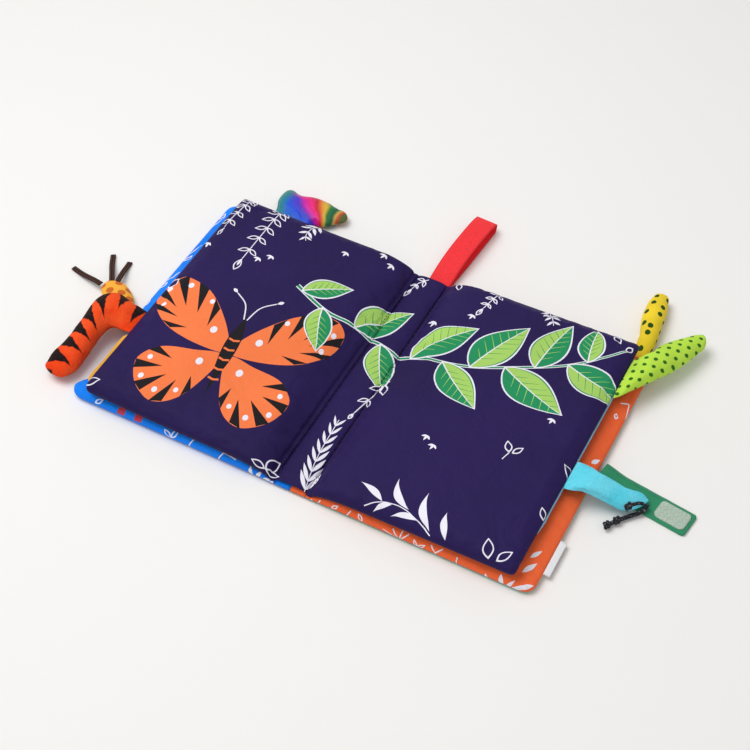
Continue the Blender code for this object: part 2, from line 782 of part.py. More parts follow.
def make_tufts(tail, carrier, stuffs):
    """Three flat tufts that spread from the tufted tail's tip."""
    names = ("tuft_outer", "tuft_middle", "tuft_inner")
    tables = zip(names, TUFT_ROOT_SHARES, TUFT_HEADINGS, TUFT_LENGTHS)
    for name, shares, heading, length in tables:
        ahead = Vector((math.cos(heading), math.sin(heading), 0.0))
        aside = Vector((ahead.y, -ahead.x, 0.0))
        root = tail.spot(*shares) + ahead * TUFT_CLEAR
        low = TUFT_FLOAT + TUFT_THICKNESS / 2
        high = TAIL_FLOAT + tail.thickness * TUFT_HEIGHT_SHARE
        centres = []
        for step in range(TUFT_STEPS + 1):
            share = step / TUFT_STEPS
            fall = (1.0 + math.cos(math.pi * share)) / 2
            centres.append((root + ahead * length * share + UP * blend(low, high, fall),
                            aside))
        strip(name, centres, lambda index: TUFT_WIDTH, TUFT_THICKNESS, stuffs["tuft"], carrier)


def make_cord(carrier, stuffs):
    """The knotted cord at the blue tail's end."""
    curve = bpy.data.curves.new("knotted_cord", "CURVE")
    curve.dimensions = "3D"
    curve.bevel_depth = CORD_RADIUS
    curve.bevel_resolution = CORD_RESOLUTION
    curve.use_fill_caps = True
    line = curve.splines.new("POLY")
    line.points.add(len(CORD_ROUTE) - 1)
    home = Vector(carrier["home"])
    for index, place in enumerate(CORD_ROUTE):
        line.points[index].co = (*(place - home), 1.0)
        line.points[index].radius = KNOT_SHARE if index in CORD_KNOTS else 1.0
    curve.materials.append(stuffs["cord"])
    cord = bpy.data.objects.new("knotted_cord", curve)
    cord.parent = carrier
    bpy.context.collection.objects.link(cord)


def make_stuffs():
    """Every material."""
    return {
        "green": material("green_cloth", (0.080, 0.305, 0.045), 0.85),
        "blue": material("blue_cloth", (0.013, 0.223, 0.791), 0.80),
        "orange": material("orange_cloth", (0.855, 0.156, 0.038), 0.80),
        "gold": material("gold_cloth", (0.791, 0.402, 0.045), 0.80),
        "sky": material("sky_cloth", (0.305, 0.578, 0.831), 0.80),
        "navy": material("navy_cloth", (0.030, 0.013, 0.098), 0.65),
        "wadding": material("white_wadding", (0.80, 0.80, 0.78), 0.95),
        "film": material("crinkle_film", (0.60, 0.60, 0.62), 0.35),
        "squeaker": material("squeaker_plastic", (0.70, 0.70, 0.65), 0.45),
        "striped": material("striped_plush", (0.752, 0.070, 0.026), 0.90),
        "tufted": material("spotted_cloth", (0.752, 0.402, 0.032), 0.85),
        "rainbow": material("rainbow_satin", (0.578, 0.021, 0.188), 0.40),
        "lime": material("lime_dotted_cloth", (0.402, 0.578, 0.021), 0.85),
        "yellow": material("yellow_dotted_cloth", (0.831, 0.680, 0.032), 0.85),
        "fleece": material("blue_fleece", (0.305, 0.610, 0.860), 0.95),
        "tuft": material("brown_tuft", (0.061, 0.021, 0.013), 0.85),
        "ribbon": material("red_ribbon", (0.515, 0.010, 0.021), 0.60),
        "strap": material("strap_webbing", (0.102, 0.352, 0.045), 0.80),
        "hook": material("touch_fastener", (0.156, 0.223, 0.127), 0.85),
        "label": material("white_tape", (0.831, 0.831, 0.791), 0.75),
        "cord": material("dark_cord", (0.045, 0.045, 0.053), 0.80),
    }


def make_pads():
    """The forms of the four padded leaves."""
    covers = []
    for side in (LEFT, RIGHT):
        covers.append(Pad(side, COVER_WIDTH, COVER_HEIGHT, COVER_EDGE, COVER_THICKNESS,
                          COVER_HEM_Z, COVER_MID_Z))
    pages = []
    rises = ((LEFT_RISE_NEAR, LEFT_RISE_FAR), (RIGHT_RISE_NEAR, RIGHT_RISE_FAR))
    for side, (near, far) in zip((LEFT, RIGHT), rises):
        page = Pad(side, PAGE_WIDTH, PAGE_HEIGHT, PAGE_EDGE, PAGE_THICKNESS,
                   PAGE_HEM_Z, PAGE_MID_Z)
        page.corner_power = PAGE_CORNER_POWER
        page.rise_near = near
        page.rise_far = far
        page.bed_crown = CROWN
        pages.append(page)
    return covers, pages


def make_tails(carriers, stuffs):
    """The six stuffed tails."""
    west = (-1.0, 0.0, 0.0)
    east = (1.0, 0.0, 0.0)
    north = (0.0, 1.0, 0.0)
    page_x = PAGE_EDGE_X + SEW_GAP
    cover_x = COVER_EDGE_X + SEW_GAP
    head_y = HEAD_Y + SEW_GAP
    forms = {
        "striped": Tail(STRIPED_LENGTH, STRIPED_THICKNESS, STRIPED_SHARES,
                        STRIPED_TIP_SHARES, (-page_x, STRIPED_PLACE, LEFT_EDGE_Z),
                        west, north),
        "tufted": Tail(TUFTED_LENGTH, TUFTED_THICKNESS, TUFTED_SHARES,
                       TUFTED_TIP_SHARES, (-cover_x, TUFTED_PLACE, COVER_MID_Z),
                       west, north),
        "rainbow": Tail(RAINBOW_LENGTH, RAINBOW_THICKNESS, RAINBOW_SHARES,
                        RAINBOW_TIP_SHARES, (RAINBOW_PLACE, head_y, COVER_MID_Z),
                        north, east),
        "lime": Tail(LIME_LENGTH, LIME_THICKNESS, LIME_SHARES,
                     LIME_TIP_SHARES, (page_x, LIME_PLACE, RIGHT_EDGE_Z),
                     east, north),
        "yellow": Tail(YELLOW_LENGTH, YELLOW_THICKNESS, YELLOW_SHARES,
                       YELLOW_TIP_SHARES, (YELLOW_PLACE, head_y, COVER_MID_Z),
                       north, east),
        "fleece": Tail(BLUE_LENGTH, BLUE_THICKNESS, BLUE_SHARES,
                       BLUE_TIP_SHARES, (page_x, BLUE_PLACE, RIGHT_EDGE_Z),
                       east, north),
    }
    names = {"striped": "striped_tail", "tufted": "tufted_tail", "rainbow": "rainbow_tail",
             "lime": "lime_tail", "yellow": "yellow_tail", "fleece": "blue_tail"}
    for key, form in forms.items():
        name = names[key]
        form.sleeve(name + "_cloth", stuffs[key], carriers[name])
        form.stuffing(name + "_stuffing", stuffs["wadding"], carriers[name])
    make_tufts(forms["tufted"], carriers["tufted_tail"], stuffs)
    make_cord(carriers["blue_tail"], stuffs)


def make_bodies():
    """An empty for each body, on the axis that the body turns about."""
    back = body("back_cover_body", (0.0, 0.0, 0.0))
    spine = body("spine_body", (SEAM_X, 0.0, HINGE_Z), back)
    front = body("front_cover_body", (-SEAM_X, 0.0, HINGE_Z), spine)
    left = body("left_page_body", (-SEAM_X, 0.0, HINGE_Z), front)
    right = body("right_page_body", (SEAM_X, 0.0, HINGE_Z), back)
    page_x = PAGE_EDGE_X + AXIS_CLEAR
    cover_x = COVER_EDGE_X + AXIS_CLEAR
    head_y = HEAD_Y + AXIS_CLEAR
    return {
        "back_cover": back,
        "spine": spine,
        "front_cover": front,
        "left_page": left,
        "right_page": right,
        "striped_tail": body("striped_tail_body", (-page_x, STRIPED_PLACE, LEFT_EDGE_Z), left),
        "tufted_tail": body("tufted_tail_body", (-cover_x, TUFTED_PLACE, COVER_MID_Z), front),
        "rainbow_tail": body("rainbow_tail_body", (RAINBOW_PLACE, head_y, COVER_MID_Z), front),
        "lime_tail": body("lime_tail_body", (page_x, LIME_PLACE, RIGHT_EDGE_Z), right),
        "yellow_tail": body("yellow_tail_body", (YELLOW_PLACE, head_y, COVER_MID_Z), back),
        "blue_tail": body("blue_tail_body", (page_x, BLUE_PLACE, RIGHT_EDGE_Z), right),
        "closing_strap": body("closing_strap_body", (cover_x, STRAP_PLACE, COVER_MID_Z), back),
        "ribbon_loop": body("ribbon_loop_body", (RIBBON_PLACE, head_y, HINGE_Z / 2), spine),
    }


def main():
    clear_scene()
    stuffs = make_stuffs()
    carriers = make_bodies()
    covers, pages = make_pads()
    front, back = covers
    left, right = pages
    front_body = carriers["front_cover"]
    back_body = carriers["back_cover"]
    left_body = carriers["left_page"]
    right_body = carriers["right_page"]

    outer = front.lower_cloth("front_cover_outer_cloth", stuffs["green"], front_body)
    front.upper_cloth("front_cover_blue_lining", stuffs["blue"], front_body)
    quilt = front.wadding("front_cover_wadding", stuffs["wadding"], front_body)
    make_squeaker(front, quilt, stuffs, front_body)
    make_loop_patch(front, outer, stuffs, front_body)

    back.lower_cloth("back_cover_outer_cloth", stuffs["green"], back_body)
    back.upper_cloth("back_cover_orange_lining", stuffs["orange"], back_body)
    back.wadding("back_cover_wadding", stuffs["wadding"], back_body, FILM + GAP)
    back.film("back_cover_crinkle_film", stuffs["film"], back_body)
    make_label(back_body, stuffs)

    left.lower_cloth("left_page_gold_backing", stuffs["gold"], left_body)
    left.upper_cloth("left_page_face_cloth", stuffs["navy"], left_body)
    left.wadding("left_page_wadding", stuffs["wadding"], left_body, FILM + GAP)
    left.film("left_page_crinkle_film", stuffs["film"], left_body)

    right.lower_cloth("right_page_sky_backing", stuffs["sky"], right_body)
    right.upper_cloth("right_page_face_cloth", stuffs["navy"], right_body)
    right.wadding("right_page_wadding", stuffs["wadding"], right_body, FILM + GAP)
    right.film("right_page_crinkle_film", stuffs["film"], right_body)

    make_spine(carriers["spine"], stuffs)
    make_tails(carriers, stuffs)
    make_strap(carriers["closing_strap"], stuffs)
    make_ribbon(carriers["ribbon_loop"], stuffs)


if __name__ == "__main__":
    main()
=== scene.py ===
import math
import random

import bmesh
import bpy
import numpy as np
from bpy.props import FloatProperty, FloatVectorProperty, IntProperty, PointerProperty
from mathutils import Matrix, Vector, geometry, noise


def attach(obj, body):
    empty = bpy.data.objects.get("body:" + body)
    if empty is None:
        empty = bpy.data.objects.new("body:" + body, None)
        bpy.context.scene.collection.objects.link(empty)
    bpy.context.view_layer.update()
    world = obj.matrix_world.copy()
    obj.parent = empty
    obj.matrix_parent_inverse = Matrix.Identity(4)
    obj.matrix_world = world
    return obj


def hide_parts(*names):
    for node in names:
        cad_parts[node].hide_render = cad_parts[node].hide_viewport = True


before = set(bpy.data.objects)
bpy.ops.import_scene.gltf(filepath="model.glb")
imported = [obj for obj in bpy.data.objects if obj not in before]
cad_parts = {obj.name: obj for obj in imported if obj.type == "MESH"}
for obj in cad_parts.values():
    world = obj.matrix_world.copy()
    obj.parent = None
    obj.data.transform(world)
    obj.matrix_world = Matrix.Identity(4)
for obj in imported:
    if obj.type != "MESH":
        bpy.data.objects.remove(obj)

bl_info = {
    "name": "Cloth Activity Book",
    "version": (1, 0, 0),
    "blender": (4, 5, 0),
    "location": "3D View > Sidebar > Cloth book",
    "description": "Padded cloth book with printed leaves, stuffed tails, a ribbon and a strap",
    "category": "Object",
}

MM = 0.001

# The frame's sizes, in metres, as the solids have them
CLOTH = 0.0006
GAP = 0.0003
LAYER = CLOTH + GAP
HEM_HALF = CLOTH + GAP / 2
HEM = 0.0035
SWELL_RUN = 0.034
CROWN = 0.0005
GUTTER = 0.023
SEAM_X = GUTTER / 2
SPINE_CROWN = 0.0020
FOOT_WIDTH = 0.009
COVER_WIDTH, COVER_HEIGHT, COVER_THICKNESS, COVER_EDGE = 0.154, 0.203, 0.0082, 0.010
PAGE_WIDTH, PAGE_HEIGHT, PAGE_THICKNESS = 0.142, 0.200, 0.0079
BED_GAP = 0.0006
LEFT_RISES = (0.0, 0.0037)
RIGHT_RISES = (0.0014, 0.0050)
SPINE_LIFT = COVER_THICKNESS / 2 - HEM_HALF - LAYER - CLOTH / 2
HINGE_Z = SPINE_LIFT + 4 * CLOTH + 3 * GAP
COVER_HEM_Z = HINGE_Z - 3 * CLOTH - 2.5 * GAP
PAGE_HEM_Z = HINGE_Z - CLOTH - GAP / 2
COVER_MID_Z = COVER_THICKNESS / 2
PAGE_MID_Z = COVER_THICKNESS + BED_GAP + PAGE_THICKNESS / 2
COVER_EDGE_X = SEAM_X + COVER_WIDTH
PAGE_EDGE_X = SEAM_X + PAGE_WIDTH
HEAD_Y = COVER_HEIGHT / 2
LEFT_EDGE_Z = PAGE_MID_Z + LEFT_RISES[1]
RIGHT_EDGE_Z = PAGE_MID_Z + RIGHT_RISES[1]
SEW_GAP = 0.0004
LEFT, RIGHT = -1, 1
UP = Vector((0.0, 0.0, 1.0))

CAMERA_PLACE = Vector((0.3048, -0.5634, 0.7671))
CAMERA_AIM = Vector((0.00231, 0.0090, 0.0))
CAMERA_LENS, CAMERA_SENSOR, CAMERA_REACH = 72.0, 36.0, 100.0
FLOOR_REACH = 40.0
WINDOW_ENERGY, WINDOW_WIDTH, WINDOW_PLACE = 6.9, 0.9, Vector((-0.38, -0.115, 1.17))
LAMPS = (
    ("key_lamp", 0.60, math.radians(35.0), (-0.62, -0.05, 0.95)),
    ("fill_lamp", 0.24, math.radians(60.0), (0.35, -0.75, 0.8)),
)
SKY_STRENGTH = 0.45


def shade(red, green, blue):
    """A colour as seen on a screen, in the linear numbers that shaders take."""
    made = []
    for value in (red, green, blue):
        share = value / 255
        made.append(share / 12.92 if share <= 0.04045 else ((share + 0.055) / 1.055) ** 2.4)
    return tuple(made)


def colour_property(label, about, red, green, blue):
    """A colour that the user may change."""
    return FloatVectorProperty(name=label, description=about, subtype="COLOR", size=3,
                               min=0.0, max=1.0, default=shade(red, green, blue))


def length_property(label, about, value):
    """A length in metres that the user may change."""
    return FloatProperty(name=label, description=about, default=value, min=0.0,
                         unit="LENGTH", precision=5)


class ClothBookSizes(bpy.types.PropertyGroup):
    """Sizes of the cloth's detail."""
    mesh_pitch: length_property("Mesh pitch", "Distance between the points of a leaf's cloth", 0.0022)
    gather_height: length_property("Gather height", "Height of the puckers beside the seams", 0.00055)
    stitch_pitch: length_property("Stitch pitch", "Distance from stitch to stitch", 0.0027)
    stitch_length: length_property("Stitch length", "Length of one stitch", 0.0019)
    stitch_width: length_property("Stitch width", "Thickness of the sewing thread", 0.00042)
    print_line: length_property("Printed line", "Width of the printed outlines", 0.00065)
    seed: IntProperty(name="Seed", description="Start number of the scattered prints", default=7)


class ClothBookColours(bpy.types.PropertyGroup):
    """Colours of the cloths, prints and trimmings."""
    navy: colour_property("Navy cloth", "Ground of the two pages", 35, 21, 75)
    blue: colour_property("Blue lining", "Lining of the front cover", 14, 130, 250)
    orange: colour_property("Orange lining", "Lining of the back cover", 255, 106, 56)
    gold: colour_property("Golden backing", "Backing of the left page", 236, 176, 70)
    sky: colour_property("Light blue backing", "Backing of the right page", 150, 200, 232)
    green: colour_property("Outer cloth", "Outside of both covers", 62, 152, 108)
    orange_ink: colour_property("Orange print", "Large shapes of the left page", 250, 128, 74)
    black_ink: colour_property("Dark print", "Stripes of the left page", 26, 22, 26)
    white_ink: colour_property("White print", "Sprigs and outlines", 240, 238, 248)
    leaf_ink: colour_property("Green print", "Large leaves", 38, 142, 92)
    lime_ink: colour_property("Lime print", "Light halves of the large leaves", 168, 210, 104)
    crimson_ink: colour_property("Crimson print", "Small patches on the blue lining", 196, 66, 84)
    plush: colour_property("Striped plush", "Ground of the striped tail", 255, 72, 26)
    spotted: colour_property("Spotted cloth", "Ground of the tufted tail", 250, 178, 62)
    lime: colour_property("Lime cloth", "Ground of the lime tail", 190, 232, 76)
    yellow: colour_property("Yellow cloth", "Ground of the yellow tail", 245, 214, 50)
    fleece: colour_property("Light blue fleece", "Cloth of the blue tail", 98, 232, 255)
    tuft: colour_property("Tuft", "Flat strips at the tufted tail's end", 44, 28, 24)
    ribbon: colour_property("Ribbon", "Loop at the head of the spine", 255, 54, 60)
    strap: colour_property("Strap", "Closing strap", 46, 138, 98)
    hook: colour_property("Fastener", "Touch-fastener patches", 194, 214, 196)
    label: colour_property("Label", "Blank sewn-in label", 236, 238, 240)
    cord: colour_property("Cord", "Knotted cord", 44, 44, 50)
    floor: colour_property("Floor", "Floor and background", 245, 243, 240)


def sizes():
    """The sizes set in this scene."""
    return bpy.context.scene.cloth_book_sizes


def colours():
    """The colours set in this scene."""
    return bpy.context.scene.cloth_book_colours


# Shader maths

def operation(kind, swapped=False):
    """A method of Number that adds one Math node."""

    def apply(self, *others):
        return self.finish.sum(kind, *((*others, self) if swapped else (self, *others)))

    return apply


class Number:
    """A socket that holds a number. Sums written with it add Math nodes."""

    def __init__(self, finish, socket):
        self.finish = finish
        self.socket = socket

    __add__ = __radd__ = operation("ADD")
    __sub__ = operation("SUBTRACT")
    __rsub__ = operation("SUBTRACT", True)
    __mul__ = __rmul__ = operation("MULTIPLY")
    __truediv__ = operation("DIVIDE")
    __abs__ = operation("ABSOLUTE")
    sine = operation("SINE")
    root = operation("SQRT")
    part = operation("FRACT")
    most = operation("MAXIMUM")

    def step(self, low, high):
        """0 below low, 1 above high, smooth between."""
        made = self.finish.node(
            "ShaderNodeMapRange", {"interpolation_type": "SMOOTHSTEP"},
            {"Value": self, "From Min": low, "From Max": high})
        return Number(self.finish, made.outputs["Result"])


class Nodes:
    """A node tree, filled from settings and values."""

    def __init__(self, tree):
        self.tree = tree
        tree.nodes.clear()

    def node(self, kind, settings=None, sockets=None):
        """Adds a node: its settings first, then the values or links of its sockets."""
        made = self.tree.nodes.new(kind)
        for key, value in (settings or {}).items():
            if key == "stops":
                ramp = made.color_ramp
                while len(ramp.elements) < len(value):
                    ramp.elements.new(1.0)
                for stop, (place, colour) in zip(ramp.elements, value):
                    stop.position = place
                    stop.color = (*colour, 1.0)
            else:
                setattr(made, key, value)
        for key, value in (sockets or {}).items():
            socket = made.inputs[key]
            source = value.socket if isinstance(value, Number) else value
            if isinstance(source, bpy.types.NodeSocket):
                self.tree.links.new(source, socket)
            elif socket.type == "RGBA" and len(source) == 3:
                socket.default_value = (*source, 1.0)
            else:
                socket.default_value = source
        return made


class Finish(Nodes):
    """One material."""

    def __init__(self, name):
        self.material = bpy.data.materials.new(name)
        self.material.use_nodes = True
        super().__init__(self.material.node_tree)
        self.coordinates = None

    def sum(self, operation, *values):
        """One Math node."""
        made = self.node("ShaderNodeMath", {"operation": operation}, dict(enumerate(values)))
        return Number(self, made.outputs[0])

    def place(self):
        """Where a point is on the piece, in metres."""
        if self.coordinates is None:
            self.coordinates = self.node("ShaderNodeTexCoord")
        return self.coordinates.outputs["Object"]

    def axes(self, vector=None):
        """The three numbers of a vector."""
        made = self.node("ShaderNodeSeparateXYZ", None, {0: vector or self.place()})
        return [Number(self, made.outputs[index]) for index in range(3)]

    def cloth_map(self, name):
        """The two numbers of a piece's own UV map."""
        return self.node("ShaderNodeUVMap", {"uv_map": name}).outputs[0]

    def mottle(self, scale, detail=2.0, distortion=0.0, roughness=0.5):
        """Noise from 0 to 1."""
        made = self.node("ShaderNodeTexNoise", None, {
            "Vector": self.place(), "Scale": scale, "Detail": detail,
            "Roughness": roughness, "Distortion": distortion})
        return Number(self, made.outputs[0])

    def mix(self, share, first, second):
        """A colour between two colours."""
        made = self.node("ShaderNodeMix", {"data_type": "RGBA"}, {0: share, 6: first, 7: second})
        return made.outputs[2]

    def uneven(self, colour, low, high, scale=60.0, span=(0.3, 0.7)):
        """A colour that wanders between a darker and a lighter share of itself."""
        return self.mix(self.mottle(scale).step(*span), tinted(colour, low), tinted(colour, high))

    def bump(self, height, strength, distance, normal=None):
        """Relief from a height."""
        links = {"Height": height, "Strength": strength, "Distance": distance}
        if normal is not None:
            links["Normal"] = normal
        return self.node("ShaderNodeBump", None, links).outputs[0]

    def done(self, **sockets):
        """Closes the material with its shader."""
        named = {key.replace("_", " "): value for key, value in sockets.items()}
        shader = self.node("ShaderNodeBsdfPrincipled", None, named)
        out = self.node("ShaderNodeOutputMaterial")
        self.tree.links.new(shader.outputs[0], out.inputs["Surface"])
        return self.material


def tinted(colour, share):
    """A colour made lighter or darker by a share."""
    return tuple(min(1.0, max(0.0, value * share)) for value in colour)


def toward(first, second, share):
    """A colour a share of the way from one to another."""
    return tuple(a + (b - a) * share for a, b in zip(first, second))


KEPT = {}


def kept(name, maker):
    """A material, made once."""
    if name not in KEPT:
        KEPT[name] = maker(name)
    return KEPT[name]


def woven(name, colour, thread=0.0005, weave=0.10, crease=0.35, roughness=0.78, sheen=0.03,
          mottled=0.10, gloss=0.16):
    """Plain woven cloth with soft creases."""

    def make(title):
        finish = Finish(title)
        x, y, z = finish.axes()
        turn = math.tau / thread
        lattice = (x * turn).sine() * ((y + z * 0.7) * turn).sine()
        creases = finish.mottle(42.0, 3.0, 1.2)
        speckle = finish.mottle(1500.0, 1.0)
        ground = finish.uneven(colour, 1.0 - mottled, 1.0 + mottled, 16.0)
        ground = finish.mix(speckle.step(0.35, 0.75) * 0.22, ground, tinted(colour, 0.72))
        relief = finish.bump(creases, crease, 0.004)
        relief = finish.bump(lattice * 0.5 + speckle * 0.6, weave, 0.0004, relief)
        return finish.done(Base_Color=ground, Roughness=roughness + (speckle - 0.5) * 0.16,
                           Normal=relief, Sheen_Weight=sheen, Specular_IOR_Level=gloss)

    return kept(name, make)


PLAIN_CLOTHS = {
    "navy_cloth_print": ("navy", {"roughness": 0.66, "sheen": 0.0, "crease": 0.45,
                                  "mottled": 0.12, "gloss": 0.14}),
    "blue_lining_cloth": ("blue", {"roughness": 0.7}),
    "orange_lining_cloth": ("orange", {"roughness": 0.7}),
    "gold_backing": ("gold", {}),
    "sky_backing": ("sky", {}),
    "green_outer_cloth": ("green", {"crease": 0.3}),
    "strap_cloth": ("strap", {"thread": 0.0006, "weave": 0.16, "crease": 0.25,
                              "roughness": 0.85, "sheen": 0.2}),
    "white_tape_satin": ("label", {"thread": 0.0004, "weave": 0.12, "crease": 0.1,
                                   "roughness": 0.5, "sheen": 0.1, "mottled": 0.03}),
}


def plain(name):
    """One of the cloths of a single colour."""
    colour, looks = PLAIN_CLOTHS[name]
    return woven(name, tuple(getattr(colours(), colour)), **looks)


def printed(ground, *inks):
    """A cloth's own finish and that of each ink on it, with the weave showing through."""
    stuffs = {"ground": plain(ground)}
    for name in inks:
        stuffs[name] = woven("print_" + name, tuple(getattr(colours(), name)), roughness=0.70,
                             sheen=0.0, crease=0.40, mottled=0.05, gloss=0.12)
    return stuffs


def plush_striped(name):
    """Plush with dark wedges from its outer edge."""
    finish = Finish(name)
    colour = tuple(colours().plush)
    share = finish.cloth_map("share")
    along, across, _ = finish.axes(share)
    wobble = (finish.mottle(260.0, 2.0) - 0.5) * 0.035
    wedges = None
    for middle, half, reach in STRIPED_WEDGES:
        width = half - (1.0 - across) * (half / reach)
        wedge = (width - abs(along - middle + wobble)).step(-0.004, 0.006)
        wedges = wedge if wedges is None else wedges.most(wedge)
    tip = (along - 0.985).step(0.0, 0.01)
    wedges = wedges.most(tip * (across + 0.2).step(0.0, 0.2))
    pile = finish.mottle(700.0, 3.0, 0.6, roughness=0.7)
    broad = finish.mottle(60.0, 2.0)
    ground = finish.mix(broad.step(0.35, 0.7), tinted(colour, 0.94),
                        toward(colour, shade(255, 118, 62), 0.40))
    ground = finish.mix(pile.step(0.3, 0.7) * 0.28, ground, tinted(colour, 0.66))
    dark = finish.mix(pile.step(0.3, 0.75), shade(18, 14, 18), shade(44, 34, 34))
    return finish.done(Base_Color=finish.mix(wedges, ground, dark), Roughness=0.95,
                       Normal=finish.bump(pile, 0.7, 0.0012), Sheen_Weight=0.10,
                       Sheen_Roughness=0.45, Sheen_Tint=(*shade(255, 170, 120), 1.0),
                       Specular_IOR_Level=0.08)


def spotted_cloth(name):
    """Yellow-orange cloth with brown-orange oval spots."""
    finish = Finish(name)
    colour = tuple(colours().spotted)
    cells = finish.node("ShaderNodeTexVoronoi", {"voronoi_dimensions": "2D"},
                        {"Vector": finish.cloth_map("metric"), "Scale": 118.0, "Randomness": 0.55})
    edge = (finish.mottle(500.0, 1.0) - 0.5) * 0.08
    spots = 1.0 - (Number(finish, cells.outputs["Distance"]) + edge).step(0.30, 0.35)
    pile = finish.mottle(900.0, 2.0)
    ground = finish.uneven(colour, 0.92, 1.0)
    ground = finish.mix(spots, ground, shade(205, 105, 40))
    return finish.done(Base_Color=ground, Roughness=0.9, Normal=finish.bump(pile, 0.4, 0.0008),
                       Sheen_Weight=0.08, Specular_IOR_Level=0.12)


def rainbow_satin(name):
    """Satin that runs through the colours of the rainbow along its length."""
    finish = Finish(name)
    along, across, _ = finish.axes(finish.cloth_map("share"))
    sway = (finish.mottle(44.0, 2.0, 0.8) - 0.5) * 0.20
    ramp = finish.node("ShaderNodeValToRGB", {"stops": RAINBOW_STOPS},
                       {0: along * 1.02 - across * 0.05 + sway + 0.03})
    folds = finish.mottle(70.0, 2.0, 1.5)
    thread = finish.mottle(1400.0, 1.0)
    relief = finish.bump(folds, 0.35, 0.004)
    relief = finish.bump(thread, 0.08, 0.0004, relief)
    teal = (across - 0.25).step(0.0, 0.55) * (1.0 - along.step(0.36, 0.50))
    ground = finish.mix(teal * 0.85, ramp.outputs[0], shade(24, 132, 108))
    return finish.done(Base_Color=ground, Roughness=0.42 + thread * 0.10, Normal=relief,
                       Specular_IOR_Level=0.28)


def dotted_cloth(name, colour, dot, regular):
    """Short-piled cloth with dark dots, in staggered rows or scattered."""

    def make(title):
        finish = Finish(title)
        metric = finish.cloth_map("metric")
        u, v, _ = finish.axes(metric)
        if regular:
            pitch, rise, size, turn = 0.0061, 0.0067, 0.00142, 0.15
            along = u * math.cos(turn) + v * math.sin(turn)
            aside = v * math.cos(turn) - u * math.sin(turn)
            a = ((along / pitch).part() - 0.5) * pitch
            b = ((aside / rise).part() - 0.5) * rise
            near = (a * a + b * b).root()
            ragged = near + (finish.mottle(700.0, 1.0) - 0.5) * 0.0005
            dots = 1.0 - ragged.step(size - 0.0002, size + 0.0002)
        else:
            cells = finish.node("ShaderNodeTexVoronoi", {"voronoi_dimensions": "2D"},
                                {"Vector": metric, "Scale": 112.0, "Randomness": 0.38})
            ragged = (Number(finish, cells.outputs["Distance"])
                      + (finish.mottle(420.0, 2.0) - 0.5) * 0.10)
            dots = 1.0 - ragged.step(0.205, 0.235)
        pile = finish.mottle(1100.0, 2.0)
        ground = finish.uneven(colour, 0.90, 1.06, 50.0)
        ground = finish.mix(pile.step(0.4, 0.8) * 0.2, ground, tinted(colour, 0.7))
        return finish.done(Base_Color=finish.mix(dots, ground, dot), Roughness=0.88,
                           Normal=finish.bump(pile, 0.35, 0.0006), Sheen_Weight=0.06,
                           Specular_IOR_Level=0.12)

    return kept(name, make)


def fleece(name):
    """Fluffy light blue fleece."""
    finish = Finish(name)
    colour = tuple(colours().fleece)
    pile = finish.mottle(520.0, 4.0, 0.8, roughness=0.65)
    broad = finish.mottle(55.0, 2.0)
    ground = finish.mix(broad.step(0.3, 0.7), tinted(colour, 0.94),
                        toward(colour, (1.0, 1.0, 1.0), 0.08))
    ground = finish.mix(pile.step(0.3, 0.7) * 0.2, ground, tinted(colour, 0.82))
    return finish.done(Base_Color=ground, Roughness=0.97, Normal=finish.bump(pile, 0.8, 0.0016),
                       Sheen_Weight=0.12, Sheen_Roughness=0.5,
                       Sheen_Tint=(*shade(215, 240, 255), 1.0), Specular_IOR_Level=0.1)


def grosgrain(name):
    """Ribbon with fine ribs across it."""
    finish = Finish(name)
    colour = tuple(colours().ribbon)
    along, across, _ = finish.axes(finish.cloth_map("metric"))
    ribs = (along * (math.tau / 0.00095)).sine()
    grain = finish.mottle(1300.0, 2.0)
    edge = abs(across).step(0.0070, 0.0080)
    ground = finish.mix(grain.step(0.35, 0.7) * 0.5, colour, tinted(colour, 0.62))
    ground = finish.mix(edge * 0.4, ground, tinted(colour, 0.6))
    relief = finish.bump(ribs * 0.5 + grain, 0.35, 0.0004)
    return finish.done(Base_Color=ground, Roughness=0.6 + grain * 0.15, Normal=relief,
                       Sheen_Weight=0.04, Specular_IOR_Level=0.2)


def hooked(name):
    """Touch fastener, a field of tiny loops and hooks, with painted shade between the loops."""
    finish = Finish(name)
    colour = tuple(colours().hook)
    loops = finish.node("ShaderNodeTexVoronoi", None, {"Vector": finish.place(), "Scale": 1100.0})
    height = Number(finish, loops.outputs["Distance"])
    broad = finish.mottle(220.0, 2.0)
    # Painted shade: darker between the loops, where the relief is low, lighter on the loop tops.
    ground = finish.mix(height.step(0.1, 0.6), tinted(colour, 1.05), tinted(colour, 0.72))
    ground = finish.mix(broad.step(0.4, 0.7) * 0.25, ground, tinted(colour, 0.85))
    return finish.done(Base_Color=ground, Roughness=0.85,
                       Normal=finish.bump(1.0 - height, 0.6, 0.0006), Specular_IOR_Level=0.35)


def tuft_cloth(name):
    """Dark strip with two lighter lines along it."""
    finish = Finish(name)
    colour = tuple(colours().tuft)
    _, across, _ = finish.axes(finish.cloth_map("metric"))
    line = 1.0 - abs(abs(across) - 0.0009).step(0.00018, 0.00045)
    grain = finish.mottle(1500.0)
    ground = finish.mix(grain.step(0.3, 0.75), tinted(colour, 0.75), tinted(colour, 1.25))
    ground = finish.mix(line * 0.40, ground, shade(128, 92, 74))
    return finish.done(Base_Color=ground, Roughness=0.85,
                       Normal=finish.bump(grain + line, 0.35, 0.0005), Specular_IOR_Level=0.12)


